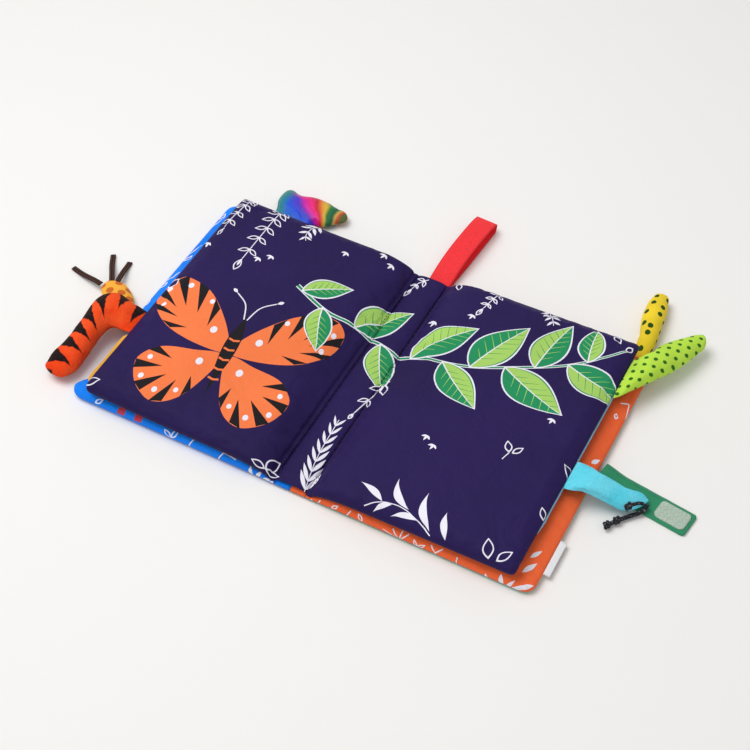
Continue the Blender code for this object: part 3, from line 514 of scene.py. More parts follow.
def braided(name):
    """Round braided cord with light flecks."""
    finish = Finish(name)
    colour = tuple(colours().cord)
    along, around, _ = finish.axes(finish.cloth_map("share"))
    first = (along * 150.0 + around * math.tau * 2.0).sine()
    second = (along * 150.0 - around * math.tau * 2.0).sine()
    braid = first.most(second)
    fleck = finish.mottle(900.0, 1.0).step(0.58, 0.66)
    ground = finish.mix(fleck * 0.6, tinted(colour, 0.8), shade(150, 150, 158))
    return finish.done(Base_Color=ground, Roughness=0.8,
                       Normal=finish.bump(braid, 0.6, 0.0004), Specular_IOR_Level=0.15)


def thread(name, colour):
    """Sewing thread."""

    def make(title):
        finish = Finish(title)
        x, y, _ = finish.axes()
        twist = ((x + y) * (math.tau / 0.0004)).sine()
        return finish.done(Base_Color=finish.mix(twist.step(-1.0, 1.0), tinted(colour, 0.8),
                                                 tinted(colour, 1.1)),
                           Roughness=0.6, Normal=finish.bump(twist, 0.3, 0.0002),
                           Specular_IOR_Level=0.4)

    return kept(name, make)


def moulded(name, colour):
    """Plain moulded plastic."""

    def make(title):
        finish = Finish(title)
        grain = finish.mottle(600.0, 2.0)
        return finish.done(Base_Color=finish.mix(grain, tinted(colour, 0.96), colour),
                           Roughness=0.42 + grain * 0.1, Normal=finish.bump(grain, 0.08, 0.0004))

    return kept(name, make)


# Drawing of the prints, in millimetres on the open book's plan

def smooth_line(points, steps):
    """Points on a smooth line through the given ones."""
    made = []
    for index in range(len(points) - 1):
        four = [points[min(max(index + k, 0), len(points) - 1)] for k in (-1, 0, 1, 2)]
        for step in range(steps):
            made.append(tuple(on_curve(*values, step / steps) for values in zip(*four)))
    made.append(tuple(points[-1]))
    return made


def on_curve(before, here, there, after, share):
    """A value between here and there on a curve through all four."""
    a = 2 * here
    b = there - before
    c = 2 * before - 5 * here + 4 * there - after
    d = 3 * (here - there) + after - before
    return (a + share * (b + share * (c + share * d))) / 2


def smooth_ring(points, steps):
    """Points on a smooth closed line through the given ones."""
    wrapped = [points[-1], *points, points[0], points[1]]
    line = smooth_line(wrapped, steps)
    return line[steps:-steps - 1]


def turned(points, heading, home=(0.0, 0.0), scale=1.0):
    """Points turned to a heading, scaled and set down at home."""
    cos, sin = math.cos(heading) * scale, math.sin(heading) * scale
    return [(home[0] + x * cos - y * sin, home[1] + x * sin + y * cos) for x, y in points]


def leaf_outline(length, width, belly=0.45, hook=0.0, steps=8):
    """One leaf, from its stalk along +X to its point."""
    bias = math.log(0.5) / math.log(belly)
    under, over = [], []
    for step in range(steps + 1):
        share = step / steps
        half = width / 2 * math.sin(math.pi * share ** bias)
        bend = hook * length * share * share
        under.append((length * share, bend - half))
        over.append((length * share, bend + half))
    return under + over[-2:0:-1]


def brush_line(points, width, end_width=None):
    """A line of a given width, drawn as a closed shape."""
    end_width = width if end_width is None else end_width
    lefts, rights = [], []
    for index, (x, y) in enumerate(points):
        ahead = points[min(index + 1, len(points) - 1)]
        behind = points[max(index - 1, 0)]
        run = math.hypot(ahead[0] - behind[0], ahead[1] - behind[1]) or 1.0
        nx, ny = -(ahead[1] - behind[1]) / run, (ahead[0] - behind[0]) / run
        half = (width + (end_width - width) * index / (len(points) - 1)) / 2
        lefts.append((x + nx * half, y + ny * half))
        rights.append((x - nx * half, y - ny * half))
    return rights + lefts[::-1]


class Print:
    """A list of inked shapes. Later ones cover earlier ones."""

    def __init__(self):
        self.shapes = []
        self.line = sizes().print_line / MM

    def add(self, points, ink_name="white_ink"):
        """Adds one closed shape."""
        self.shapes.append((list(points), ink_name))

    def leaf(self, base, heading, length, width, hollow=True, hook=0.0, belly=0.45):
        """Adds a leaf, as an outline or filled."""
        self.add(turned(leaf_outline(length, width, belly, hook), heading, base))
        if hollow:
            trim = self.line * 1.25
            inner = leaf_outline(length - 3.2 * trim, width - 2 * trim, belly, hook)
            start = turned([(1.6 * trim, 0.0)], heading, base)[0]
            self.add(turned(inner, heading, start), "ground")

    def frond(self, base, heading, length, width, hook):
        """Adds a filled leaf that bows to one side and ends in a long thin point."""
        lower, upper = [], []
        for step in range(15):
            share = step / 14
            bow = hook * length * 4.0 * share * (1.0 - share)
            half = width / 2 * math.sin(math.pi * share ** 0.85) ** 1.35
            lower.append((length * share, bow - half))
            upper.append((length * share, bow + half))
        self.add(turned(lower + upper[-2:0:-1], heading, base))

    def stem(self, points, width=None, end_width=None, steps=6):
        """Adds a stalk through the points."""
        width = self.line if width is None else width
        self.add(brush_line(smooth_line(points, steps), width, end_width))

    def sprig(self, route, pairs, length, width, spread=0.85, hollow=True, bud=0.0,
              taper=0.25, hook=0.0, first=0.14, side="both"):
        """Adds a stalk with leaves on both sides of it, and a bud at its end."""
        line = smooth_line(route, 10)
        stalk = self.line * (1.0 if hollow else 0.8)
        for index in range(pairs):
            share = first + (0.97 - first) * (index + 0.15) / pairs
            spot = share * (len(line) - 1)
            low = int(spot)
            here, there = line[low], line[min(low + 1, len(line) - 1)]
            base = tuple(a + (b - a) * (spot - low) for a, b in zip(here, there))
            heading = math.atan2(there[1] - here[1], there[0] - here[0])
            size = 1.0 - taper * index / max(pairs - 1, 1)
            for turn in (1, -1):
                if side in ("both", "left" if turn > 0 else "right"):
                    self.leaf(base, heading + turn * spread, length * size, width * size,
                              hollow, -turn * hook)
        self.add(brush_line(line, stalk))
        if bud:
            here, there = line[-2], line[-1]
            heading = math.atan2(there[1] - here[1], there[0] - here[0])
            self.leaf(there, heading, bud, bud * 0.44, True, 0.0, 0.55)
            self.leaf(there, heading, bud * 0.62, bud * 0.14, False, 0.0, 0.6)

    def mark(self, base, heading, size):
        """Adds a small mark of three strokes."""
        for turn, share in ((0.95, 0.85), (0.0, 1.0), (-0.95, 0.85)):
            self.leaf(base, heading + turn, size * share, size * 0.34, False)

    def big_leaf(self, base, heading, length, width, hook, light_side):
        """Adds a large leaf in two greens with a white edge, midrib and veins."""
        edge = 1.1
        rim = leaf_outline(length + 2 * edge, width + 2 * edge, 0.42, hook, 16)
        start = turned([(-edge, 0.0)], heading, base)[0]
        self.add(turned(rim, heading, start))
        self.add(turned(leaf_outline(length, width, 0.42, hook, 16), heading, base), "leaf_ink")
        bias = math.log(0.5) / math.log(0.42)
        middle, outer = [], []
        for step in range(17):
            share = step / 16
            bend = hook * length * share * share
            half = width / 2 * math.sin(math.pi * share ** bias)
            middle.append((length * share, bend))
            outer.append((length * share, bend + light_side * half * 0.93))
        self.add(turned(middle + outer[-2:0:-1], heading, base), "lime_ink")
        for step in range(3, 14, 2):
            share = step / 16
            half = width / 2 * math.sin(math.pi * share ** bias)
            root_x, root_y = middle[step]
            for side in (1, -1):
                tip = (root_x + half * 0.62, root_y + side * half * 0.74)
                vein = brush_line([(root_x, root_y), tip], 0.55, 0.2)
                ink_name = "leaf_ink" if side == light_side else "lime_ink"
                self.add(turned(vein, heading, base), ink_name)
        self.add(turned(brush_line(middle, 0.9, 0.4), heading, base))


def page_print():
    """Everything printed on the two pages and the spine between them."""
    drawn = Print()
    draw_wings(drawn)
    draw_branch(drawn)
    for route, pairs, length, width, options in PAGE_SPRIGS:
        drawn.sprig(route, pairs, length, width, **options)
    for base, heading, size in PAGE_MARKS:
        drawn.mark(base, math.radians(heading), size)
    for route in PAGE_STEMS:
        drawn.stem(route)
    for base, heading, length, width, hook in PAGE_FRONDS:
        drawn.frond(base, math.radians(heading), length, width, hook)
    for base, heading, length, width in PAGE_LEAVES:
        drawn.leaf(base, math.radians(heading), length, width)
    return drawn.shapes


def draw_wings(drawn):
    """A large moth with striped orange wings."""
    home, heading, grown = (-84.5, -35.0), math.radians(8.0), 1.09
    for side in (1, -1):
        for outline, middle, wedges, spots in WINGS:
            ring = smooth_ring(outline, 6)
            if side < 0:
                ring = [(-x, y) for x, y in ring][::-1]
            drawn.add(turned(ring, heading, home, grown), "orange_ink")
            for wedge in wedges:
                wedge = [(side * x, y) for x, y in wedge]
                drawn.add(turned(wedge, heading, home, grown), "black_ink")
            for x, y, size in spots:
                spot = [(side * x + size * math.cos(math.tau * k / 14),
                         y + size * 1.25 * math.sin(math.tau * k / 14)) for k in range(14)]
                drawn.add(turned(spot, heading, home, grown))
    body = leaf_outline(66.0, 9.0, 0.62, 0.0, 14)
    body = [(y, x - 36.0) for x, y in body][::-1]
    drawn.add(turned(body, heading, home, grown), "black_ink")
    for level in (-22.0, -14.0, -6.0, 2.0, 10.0):
        band = brush_line([(-3.4, level + 1.0), (0.0, level), (3.4, level + 1.0)], 1.5)
        drawn.add(turned(band, heading, home, grown), "orange_ink")
    for side in (1, -1):
        feeler = smooth_line([(side * 1.0, 28.0), (side * 5.0, 40.0), (side * 13.0, 47.0)], 6)
        drawn.add(turned(brush_line(feeler, 0.8), heading, home, grown))
        knob = turned(leaf_outline(5.0, 2.4, 0.6), math.radians(90 - side * 52), feeler[-1])
        drawn.add(turned(knob, heading, home, grown))


def draw_branch(drawn):
    """A long branch of large leaves that crosses the spine."""
    line = smooth_line(BRANCH_ROUTE, 12)
    drawn.add(brush_line(line, 3.4, 1.8))
    drawn.add(brush_line(line, 1.9, 0.9), "leaf_ink")
    for spot, turn, length, width, hook, light in BRANCH_LEAVES:
        place = spot * (len(line) - 1)
        low = int(place)
        here, there = line[low], line[min(low + 1, len(line) - 1)]
        heading = math.atan2(there[1] - here[1], there[0] - here[0]) + math.radians(turn)
        drawn.big_leaf(here, heading, length * 1.12, width * 1.22, hook, light)


def lining_print(side):
    """Sprigs scattered over a cover's lining."""
    drawn = Print()
    chance = random.Random(sizes().seed + side)
    reach_x = (COVER_EDGE_X / MM) - 6.0
    for column in range(6):
        for row in range(8):
            x = side * (20.0 + column * 27.0 + chance.uniform(-5.0, 5.0))
            y = -80.0 + row * 22.0 + chance.uniform(-4.0, 4.0) + (column % 2) * 7.0
            heading = chance.uniform(0.0, math.tau)
            style = chance.randrange(3)
            if abs(x) > reach_x - 12.0 or abs(y) > 82.0:
                continue
            bend = chance.uniform(-3.0, 3.0)
            route = turned([(0.0, 0.0), (6.0, bend), (13.0, 0.0)], heading, (x, y))
            if style == 0:
                drawn.sprig(route, 3, 6.0, 3.0, 0.8)
            elif style == 1:
                drawn.sprig(route, 3, 6.5, 2.2, 0.8, False)
            else:
                drawn.leaf((x, y), heading, 9.0, 4.5)
    return drawn


# Tables of the prints: places in millimetres from the middle of the open book

BRANCH_ROUTE = ((-74.0, 40.0), (-44.0, 29.0), (-12.0, 30.0), (20.0, 24.0), (56.0, 27.0),
                (92.0, 42.0), (124.0, 62.0), (150.0, 90.0))
BRANCH_LEAVES = (
    (0.04, 62, 30, 13, -0.12, 1),
    (0.12, -58, 33, 15, 0.12, -1),
    (0.24, 56, 38, 17, -0.12, 1),
    (0.33, -55, 36, 16, 0.12, -1),
    (0.43, 58, 44, 20, -0.12, 1),
    (0.53, -52, 40, 18, 0.12, 1),
    (0.60, 54, 46, 21, -0.12, -1),
    (0.69, -56, 46, 21, 0.12, 1),
    (0.75, 58, 40, 18, -0.12, 1),
    (0.84, -58, 42, 19, 0.12, -1),
    (0.89, 60, 28, 13, -0.12, -1),
)
WINGS = (
    (((1, 5), (12, 24), (30, 43), (50, 49), (61, 42), (59, 24), (46, 9), (26, 1), (4, -1)),
     (34, 24),
     (((18, 31), (24, 38), (20, 15)), ((31, 44), (39, 47.5), (30, 23)),
      ((47, 49.5), (55, 47.5), (39, 26)), ((61.5, 40), (61.5, 32), (44, 23)),
      ((59.5, 24), (55, 17.5), (40, 16)), ((48, 10.5), (41, 6.5), (31, 10))),
     ((25, 35, 1.6), (43, 43, 1.8), (55.5, 37, 1.7), (53, 23, 1.6), (15, 14, 2.2))),
    (((2, -3), (20, -5), (39, -9), (49, -22), (43, -39), (29, -49), (16, -44), (7, -28)),
     (26, -24),
     (((40, -9.5), (45.5, -14), (29, -16)), ((49, -23), (48, -30), (32, -23)),
      ((43, -39.5), (37, -44.5), (27, -28)), ((29, -49.5), (21.5, -47.5), (20, -30)),
      ((13, -40.5), (9, -33.5), (13, -24))),
     ((42, -19, 1.6), (41, -34, 1.7), (29, -41, 1.7), (17, -37, 1.5), (13, -12, 2.2))),
)
PAGE_SPRIGS = (
    (((-143.6, 102.2), (-145.3, 96.8), (-146.5, 81.5), (-148.2, 64.6)), 5, 7.6, 3.7,
     {"spread": 1.0, "bud": 9.2, "taper": 0.0, "first": 0.10}),
    (((-117.8, 104.0), (-119.9, 93.9), (-120.4, 71.1), (-120.3, 43.3)), 6, 9.8, 4.3,
     {"spread": 1.02, "bud": 12.0, "taper": 0.1, "first": 0.14}),
    (((-90.0, 101.4), (-92.5, 93.5), (-93.1, 85.5), (-90.6, 80.0)), 4, 10.5, 3.0,
     {"spread": 0.90, "hollow": False, "first": 0.02, "taper": 0.45}),
    (((-2.0, 98.0), (-7.0, 92.0), (-9.0, 86.0)), 2, 6.5, 3.0, {"spread": 0.9, "bud": 9.0}),
    (((16.5, 1.0), (12.0, -12.0), (8.0, -31.0)), 2, 10.5, 4.2,
     {"spread": 0.6, "bud": 6.5, "first": 0.10, "taper": 0.2}),
    (((10.5, -101.5), (4.5, -72.0), (2.5, -41.0)), 8, 15.5, 2.8,
     {"spread": 0.50, "hollow": False, "taper": 0.40, "first": 0.05, "hook": 0.05}),
    (((52.4, 100.2), (50.0, 91.0), (47.6, 80.5)), 3, 7.0, 3.3, {"spread": 1.0, "bud": 8.5}),
    (((87.4, 103.1), (91.5, 95.0), (96.4, 86.0)), 4, 9.0, 2.8,
     {"spread": 0.9, "hollow": False, "first": 0.06, "taper": 0.35}),
)
PAGE_STEMS = (
    ((52.0, -99.2), (60.5, -93.6), (70.0, -91.8), (79.5, -93.2), (97.0, -100.6)),
    ((112.6, -31.4), (114.5, -24.9)),
)
PAGE_FRONDS = (
    ((61.3, -92.7), 157, 20.0, 4.4, -0.07), ((78.6, -91.5), 130, 24.4, 5.0, 0.16),
    ((95.7, -98.8), 115.7, 26.7, 5.0, 0.14), ((106.8, -99.7), 111.3, 18.1, 4.6, 0.08),
    ((67.8, -92.5), 221, 12.4, 3.6, -0.10), ((86.1, -96.0), 191.7, 16.7, 3.8, -0.12),
)
PAGE_MARKS = (
    ((-150.6, 47.5), -100, 4.6), ((-110.4, 49.5), -100, 4.6), ((-103.6, 55.5), -100, 4.6),
    ((-36.0, 96.0), -110, 5.0), ((-27.6, 90.4), -110, 5.0), ((70.0, -40.0), -100, 4.6),
    ((63.0, -35.0), -100, 4.6), ((128.0, 12.0), -100, 4.6), ((20.0, 60.0), -110, 4.6),
    ((-60.0, 84.0), -100, 4.6), ((44.0, 72.0), -100, 4.6),
)
PAGE_LEAVES = (
    ((-152.5, -3.0), 80, 12.0, 5.6), ((-155.9, -99.4), 32, 12.5, 6.0),
    ((-18.6, -99.3), 176, 10.0, 4.8), ((-18.6, -99.3), 65, 11.5, 6.4),
    ((-18.6, -99.3), 10, 9.6, 4.2), ((114.5, -24.9), 120, 9.6, 5.0),
    ((116.2, -24.8), 55, 8.8, 4.2), ((135.5, -99.9), 115, 13.4, 7.0),
    ((140.2, -99.4), 52, 11.2, 5.6), ((154.2, -60.0), 121, 9.4, 4.6),
    ((161.0, -24.0), 148, 15.0, 6.0), ((21.0, 99.0), -70, 8.5, 4.4), ((135.5, 97.5), -35, 8.0, 6.4),
    ((150.5, 93.0), -120, 7.0, 5.0),
)
STRIPED_WEDGES = (
    (0.05, 0.050, 1.5), (0.185, 0.046, 1.3), (0.33, 0.066, 1.75), (0.475, 0.068, 1.9),
    (0.61, 0.067, 1.9), (0.745, 0.067, 1.9), (0.885, 0.076, 1.85),
)
RAINBOW_STOPS = (
    (0.00, shade(20, 134, 112)), (0.08, shade(10, 104, 190)), (0.24, shade(16, 76, 214)),
    (0.36, shade(74, 44, 184)), (0.44, shade(204, 30, 160)), (0.55, shade(236, 34, 120)),
    (0.63, shade(196, 30, 56)), (0.69, shade(222, 118, 44)), (0.74, shade(214, 176, 60)),
    (0.79, shade(36, 116, 56)), (0.88, shade(12, 82, 56)), (0.93, shade(200, 166, 74)),
    (0.965, shade(206, 72, 48)), (1.00, shade(92, 100, 50)),
)


# Cloth cut from a flat outline and laid on a form

def inside(centres, loop):
    """Which of the centres lie in a closed loop."""
    hit = np.zeros(len(centres), dtype=bool)
    x, y = centres[:, 0], centres[:, 1]
    for (ax, ay), (bx, by) in zip(loop, loop[1:] + loop[:1]):
        if ay != by:
            level = (ay > y) != (by > y)
            hit ^= level & (x < (bx - ax) * (y - ay) / (by - ay) + ax)
    return hit


def divided(loop, pitch):
    """A closed loop with points no further apart than the pitch."""
    made = []
    for (ax, ay), (bx, by) in zip(loop, loop[1:] + loop[:1]):
        parts = max(1, math.ceil(math.hypot(bx - ax, by - ay) / pitch))
        made += [(ax + (bx - ax) * k / parts, ay + (by - ay) * k / parts) for k in range(parts)]
    return made


def laid_cloth(name, outline, inner, shapes, lay, inks, pitch):
    """A sheet of printed cloth. Outline and points are flat, and lay puts them on the form."""
    low = [min(point[axis] for point in outline) for axis in (0, 1)]
    high = [max(point[axis] for point in outline) for axis in (0, 1)]
    loops, painted = [divided(outline, pitch)], []
    for points, ink_name in shapes:
        flat = [(x * MM, y * MM) for x, y in points]
        spans = [(min(p[axis] for p in flat), max(p[axis] for p in flat)) for axis in (0, 1)]
        if all(spans[axis][1] > low[axis] and spans[axis][0] < high[axis] for axis in (0, 1)):
            loops.append(divided(flat, pitch * 1.3))
            painted.append((flat, ink_name, spans))
    coords = [Vector((x / MM, y / MM)) for x, y in inner]
    edges = []
    for loop in loops:
        start, count = len(coords), len(loop)
        coords += [Vector((x / MM, y / MM)) for x, y in loop]
        edges += [(start + k, start + (k + 1) % count) for k in range(count)]
    verts, _, faces = geometry.delaunay_2d_cdt(coords, edges, [], 0, 1e-4, False)[:3]
    flat = np.array([(v.x * MM, v.y * MM) for v in verts])
    corners = np.array(faces)
    centres = flat[corners].mean(axis=1)
    keep = inside(centres, loops[0])
    corners, centres = corners[keep], centres[keep]
    names = list(inks)
    stuff = np.zeros(len(corners), dtype=int)
    for loop, ink_name, spans in painted:
        near = np.flatnonzero((centres[:, 0] > spans[0][0]) & (centres[:, 0] < spans[0][1])
                              & (centres[:, 1] > spans[1][0]) & (centres[:, 1] < spans[1][1]))
        if len(near):
            stuff[near[inside(centres[near], loop)]] = names.index(ink_name)
    used = np.unique(corners)
    renamed = {int(old): new for new, old in enumerate(used)}
    points = [lay(float(flat[index][0]), float(flat[index][1])) for index in used]
    turned_faces = []
    for a, b, c in corners:
        pa, pb, pc = flat[a], flat[b], flat[c]
        area = (pb[0] - pa[0]) * (pc[1] - pa[1]) - (pb[1] - pa[1]) * (pc[0] - pa[0])
        ring = (a, b, c) if area > 0 else (a, c, b)
        turned_faces.append([renamed[int(k)] for k in ring])
    mesh = bpy.data.meshes.new(name)
    mesh.from_pydata(points, [], turned_faces)
    for ink_name in names:
        mesh.materials.append(inks[ink_name])
    mesh.polygons.foreach_set("material_index", stuff.tolist())
    mesh.polygons.foreach_set("use_smooth", [True] * len(turned_faces))
    made = linked(name, mesh)
    wall = made.modifiers.new("Cloth", "SOLIDIFY")
    wall.thickness = CLOTH
    wall.offset = -1.0
    return made


def linked(name, data):
    """An object in the scene, at the origin."""
    made = bpy.data.objects.new(name, data)
    bpy.context.scene.collection.objects.link(made)
    return made


def closed(name, form, stuff):
    """An object from a closed form, with its faces outward."""
    bmesh.ops.recalc_face_normals(form, faces=form.faces)
    mesh = bpy.data.meshes.new(name)
    form.to_mesh(mesh)
    form.free()
    mesh.materials.append(stuff)
    return linked(name, mesh)


def fitted(made, body, slot, *nodes):
    """Puts a piece on its body, in place of the CAD nodes that it stands for."""
    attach(made, body)
    if nodes:
        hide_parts(*nodes)
    return made


def length_of(line):
    """Length of a line of points."""
    return sum((b - a).length for a, b in zip(line, line[1:]))


def compass(degrees):
    """The level direction at an angle from +X."""
    heading = math.radians(degrees)
    return Vector((math.cos(heading), math.sin(heading), 0.0))


def ease(distance, run):
    """Quarter-ellipse rise from 0 at the edge to 1 once past the run."""
    share = within(distance / run)
    return math.sqrt(share * (2.0 - share))


def between(low, high, share):
    """The value at a share of the way from low to high."""
    return low + (high - low) * share


def ripple(x, y, z=0.0):
    """Smooth random height from -1 to 1."""
    return noise.noise(Vector((x, y, z)))


CLOTH_SCALE = 10.0
REST_FRAMES = 18
REST_CAP = 0.0016
LEAF_GROWTH, LEAF_PRESSURE = 0.035, 2.0
TAIL_GROWTH, TAIL_PRESSURE = 0.05, 3.0


def settled_points(name, points, faces, held, growth, pressure):
    """Where a cloth's points come to rest, no further than the cap from their start."""
    start = [Vector(point) for point in points]
    mesh = bpy.data.meshes.new(name + "_resting")
    mesh.from_pydata([point * CLOTH_SCALE for point in start], [], faces)
    trial = linked(name + "_resting", mesh)
    group = trial.vertex_groups.new(name="sewn")
    group.add([index for index, hold in enumerate(held) if hold], 1.0, "REPLACE")
    cloth = trial.modifiers.new("Cloth", "CLOTH")
    cloth.settings.quality = 5
    cloth.settings.mass = 0.3
    cloth.settings.bending_stiffness = 0.4
    cloth.settings.vertex_group_mass = "sewn"
    cloth.settings.shrink_min = -growth
    cloth.settings.use_pressure = True
    cloth.settings.uniform_pressure_force = pressure
    cloth.settings.effector_weights.gravity = 0.0
    cloth.collision_settings.use_collision = False
    scene = bpy.context.scene
    for frame_number in range(1, REST_FRAMES + 1):
        scene.frame_set(frame_number)
    seen = trial.evaluated_get(bpy.context.evaluated_depsgraph_get())
    rest = []
    for here, vertex in zip(start, seen.data.vertices):
        moved = vertex.co / CLOTH_SCALE - here
        if moved.length > REST_CAP:
            moved *= REST_CAP / moved.length
        rest.append(here + moved)
    trial.modifiers.remove(cloth)
    bpy.data.objects.remove(trial, do_unlink=True)
    bpy.data.meshes.remove(mesh)
    scene.frame_set(1)
    return rest


PAGE_TURN = math.radians(86.0)
ROOM_SOFTNESS = 0.00025
SLACK_RAMP, SLACK_REACH = 0.015, 0.045
LOOSE_PITCH = 0.0029


def within(value, low=0.0, high=1.0):
    """The value, held between two bounds."""
    return min(max(value, low), high)


class Leaf:
    """The form of one padded leaf. Its cloth's flat points wrap round its rim."""

    corner, tuck, bed, rises = 2.6, 0.0, 0.0, (0.0, 0.0)
    droops, early, slack = 0.0, 0.0, ()
    closing_room = relief = None

    def __init__(self, side, width, height, thickness, hem_z, mid_z, **own):
        self.side, self.width, self.height = side, width, height
        self.hem_z, self.mid_z = hem_z, mid_z
        self.swell = thickness / 2 - HEM_HALF
        self.gather = sizes().gather_height
        for key, value in own.items():
            setattr(self, key, value)
        edge, tuck = self.edge, self.tuck
        rows = []
        if tuck:
            end = math.acos(1.0 - tuck / self.foot_edge)
            for step in range(9):
                turn = end * (1.0 - step / 8)
                rows.append((self.foot_edge * (1.0 - math.cos(turn)), -HEM_HALF, -math.sin(turn)))
        else:
            rows.append((0.0, GAP / 2, 0.0))
        for step in range(17):
            turn = math.pi / 2 * step / 16
            rows.append((edge * (1.0 - math.cos(turn)), HEM_HALF, math.sin(turn)))
        self.rows, run = [], 0.0
        for index, (depth, flat, share) in enumerate(rows):
            if index:
                last = rows[index - 1]
                climb = (flat + self.swell * share) - (last[1] + self.swell * last[2])
                run += math.hypot(depth - last[0], climb)
            self.rows.append((run, depth, flat, share))
        self.extra = run - edge

    def out(self, over_s, over_y):
        """Distance out from a corner's centre, along lines of the corner's own form."""
        return (over_s ** self.corner + over_y ** self.corner) ** (1.0 / self.corner)

    def depth(self, s, y):
        """Depth of a place in plan from the rim."""
        over_s = s - (self.width - self.edge)
        over_y = abs(y) - (self.height / 2 - self.edge)
        if min(over_s, over_y) > 0.0:
            return self.edge - self.out(over_s, over_y)
        return self.edge - max(over_s, over_y)

    def roll(self, away):
        """Depth in from the rim, level and fullness at a distance from the cloth's edge."""
        if away <= 0.0:
            return self.rows[0][1:]
        for before, after in zip(self.rows, self.rows[1:]):
            if away <= after[0]:
                share = (away - before[0]) / (after[0] - before[0])
                return tuple(between(a, b, share) for a, b in zip(before[1:], after[1:]))
        return (self.edge, HEM_HALF, 1.0)

    def spread(self, x, y):
        """Where a flat point of the cloth comes in plan, with its depth, level and fullness."""
        s = abs(x) - SEAM_X
        inner_s, inner_y = self.width - self.edge, self.height / 2 - self.edge
        over_s, over_y = s - inner_s, abs(y) - inner_y
        reach = self.edge + self.extra
        if max(over_s, over_y) <= 0.0:
            return s, y, self.edge, HEM_HALF, 1.0
        if min(over_s, over_y) > 0.0:
            away = self.out(over_s, over_y)
            depth, flat, share = self.roll(reach - away)
            pull = (self.edge - depth) / away
            return (inner_s + over_s * pull, math.copysign(inner_y + over_y * pull, y),
                    depth, flat, share)
        depth, flat, share = self.roll(reach - max(over_s, over_y))
        if over_s > over_y:
            return self.width - depth, y, depth, flat, share
        return s, math.copysign(self.height / 2 - depth, y), depth, flat, share

    def dome(self, s, y):
        """Crown of the whole field, from 0 at the edges to 1 in the middle."""
        along, up = 2 * s / self.width - 1.0, 2 * y / self.height
        return (1.0 - along * along) * (1.0 - up * up)

    def middle(self, s, y):
        """Height of the seam that goes round between the two cloths."""
        opened = ease(s - HEM, SWELL_RUN)
        rise = between(*self.rises, s / self.width)
        droop = min(rise, 0.0022) * (1.0 - ease(self.height / 2 - abs(y), 0.016)) * self.droops
        return (between(self.hem_z, self.mid_z + rise - droop, opened)
                + self.bed * self.dome(s, y))

    def drawn_in(self, s, y):
        """How far the slack edge is drawn in; less than none where it is pulled out."""
        moved = 0.0
        near = within((s - self.width + SLACK_REACH) / SLACK_REACH)
        for low, high, most in self.slack:
            hold = within((y - low) / SLACK_RAMP) * within((high - y) / SLACK_RAMP)
            moved += most * hold * hold * (3.0 - 2.0 * hold) * near * near
        return moved

    def pucker(self, s, y, depth):
        """Gathers beside the hinge seam and round the rim."""
        hold = min(1.0, s / 0.003) * min(1.0, max(depth, 0.0) / 0.0012)
        key = 11.0 * self.side + self.width * 300
        hinge = math.exp(-abs(s - 0.007) / 0.011) * ripple(y * 105.0, s * 30.0, key)
        rim = math.exp(-max(depth, 0.0) / 0.009) * ripple(y * 85.0, s * 85.0, key + 5.0)
        broad = ripple(s * 26.0, y * 26.0, key + 9.0) * 0.7 + ripple(s * 60.0, y * 50.0, key) * 0.3
        return self.gather * (1.5 * hinge + 0.9 * rim + 0.55 * broad) * hold

    def upper(self, x, y):
        """A flat point of the upper cloth, laid on the form."""
        s, there_y, depth, flat, share = self.spread(x, y)
        s = max(s, 0.0)
        z = self.middle(s, there_y) + flat + self.swell * share * self.opening(s)
        z += (CROWN * self.dome(s, there_y) + self.pucker(s, there_y, depth)) * max(share, 0.0)
        if self.relief is not None:
            moved = self.settled(s, there_y) * max(share, 0.0)
            s, there_y, z = s + moved.x, there_y + moved.y, z + moved.z
        z = self.kept_clear(s, z)
        s -= self.drawn_in(s, there_y)
        return Vector((self.side * (SEAM_X + s), there_y, z))

    def kept_clear(self, s, z):
        """Height of the cloth, eased down to leave room for the page that closes on it."""
        if self.closing_room is None:
            return z
        reach = (SEAM_X + s * math.cos(PAGE_TURN)) / math.sin(PAGE_TURN)
        room = HINGE_Z + reach + self.closing_room
        return z - ROOM_SOFTNESS * math.log1p(math.exp(min((z - room) / ROOM_SOFTNESS, 60.0)))

    def opening(self, s):
        """How far the leaf has swollen at a distance from its hinge seam."""
        return between(ease(s - HEM, SWELL_RUN), ease(s - 0.0010, 0.008), self.early)

    def settle(self, name):
        """Lets the upper cloth, a little larger than its frame, come to rest under pressure."""
        columns, rows = round(self.width / LOOSE_PITCH), round(self.height / LOOSE_PITCH)
        points, held, faces = [], [], []
        for i in range(columns + 1):
            s = self.width * i / columns
            for k in range(rows + 1):
                y = self.height * (k / rows - 0.5)
                depth = self.depth(s, y)
                full = ease(depth, self.edge) * self.opening(s)
                z = self.middle(s, y) + HEM_HALF + self.swell * full + CROWN * self.dome(s, y)
                z += 0.0003 * ripple(s * 90.0, y * 90.0, self.side * 3.0 + self.width * 100)
                points.append((s, y, z))
                held.append(depth < 0.0012 or s < 0.0008)
                if i and k:
                    end = i * (rows + 1) + k
                    faces.append((end - rows - 2, end - 1, end, end - rows - 1))
        rest = settled_points(name, points, faces, held, LEAF_GROWTH, LEAF_PRESSURE)
        self.relief = (columns, rows, [b - Vector(a) for a, b in zip(points, rest)])

    def settled(self, s, y):
        """How far the cloth moved at a place as it came to rest."""
        columns, rows, moves = self.relief
        across = within(s / self.width, 0.0, 0.9999) * columns
        up = within(y / self.height + 0.5, 0.0, 0.9999) * rows
        i, k = int(across), int(up)
        start = i * (rows + 1) + k
        near = moves[start].lerp(moves[start + 1], up - k)
        return near.lerp(moves[start + rows + 1].lerp(moves[start + rows + 2], up - k), across - i)

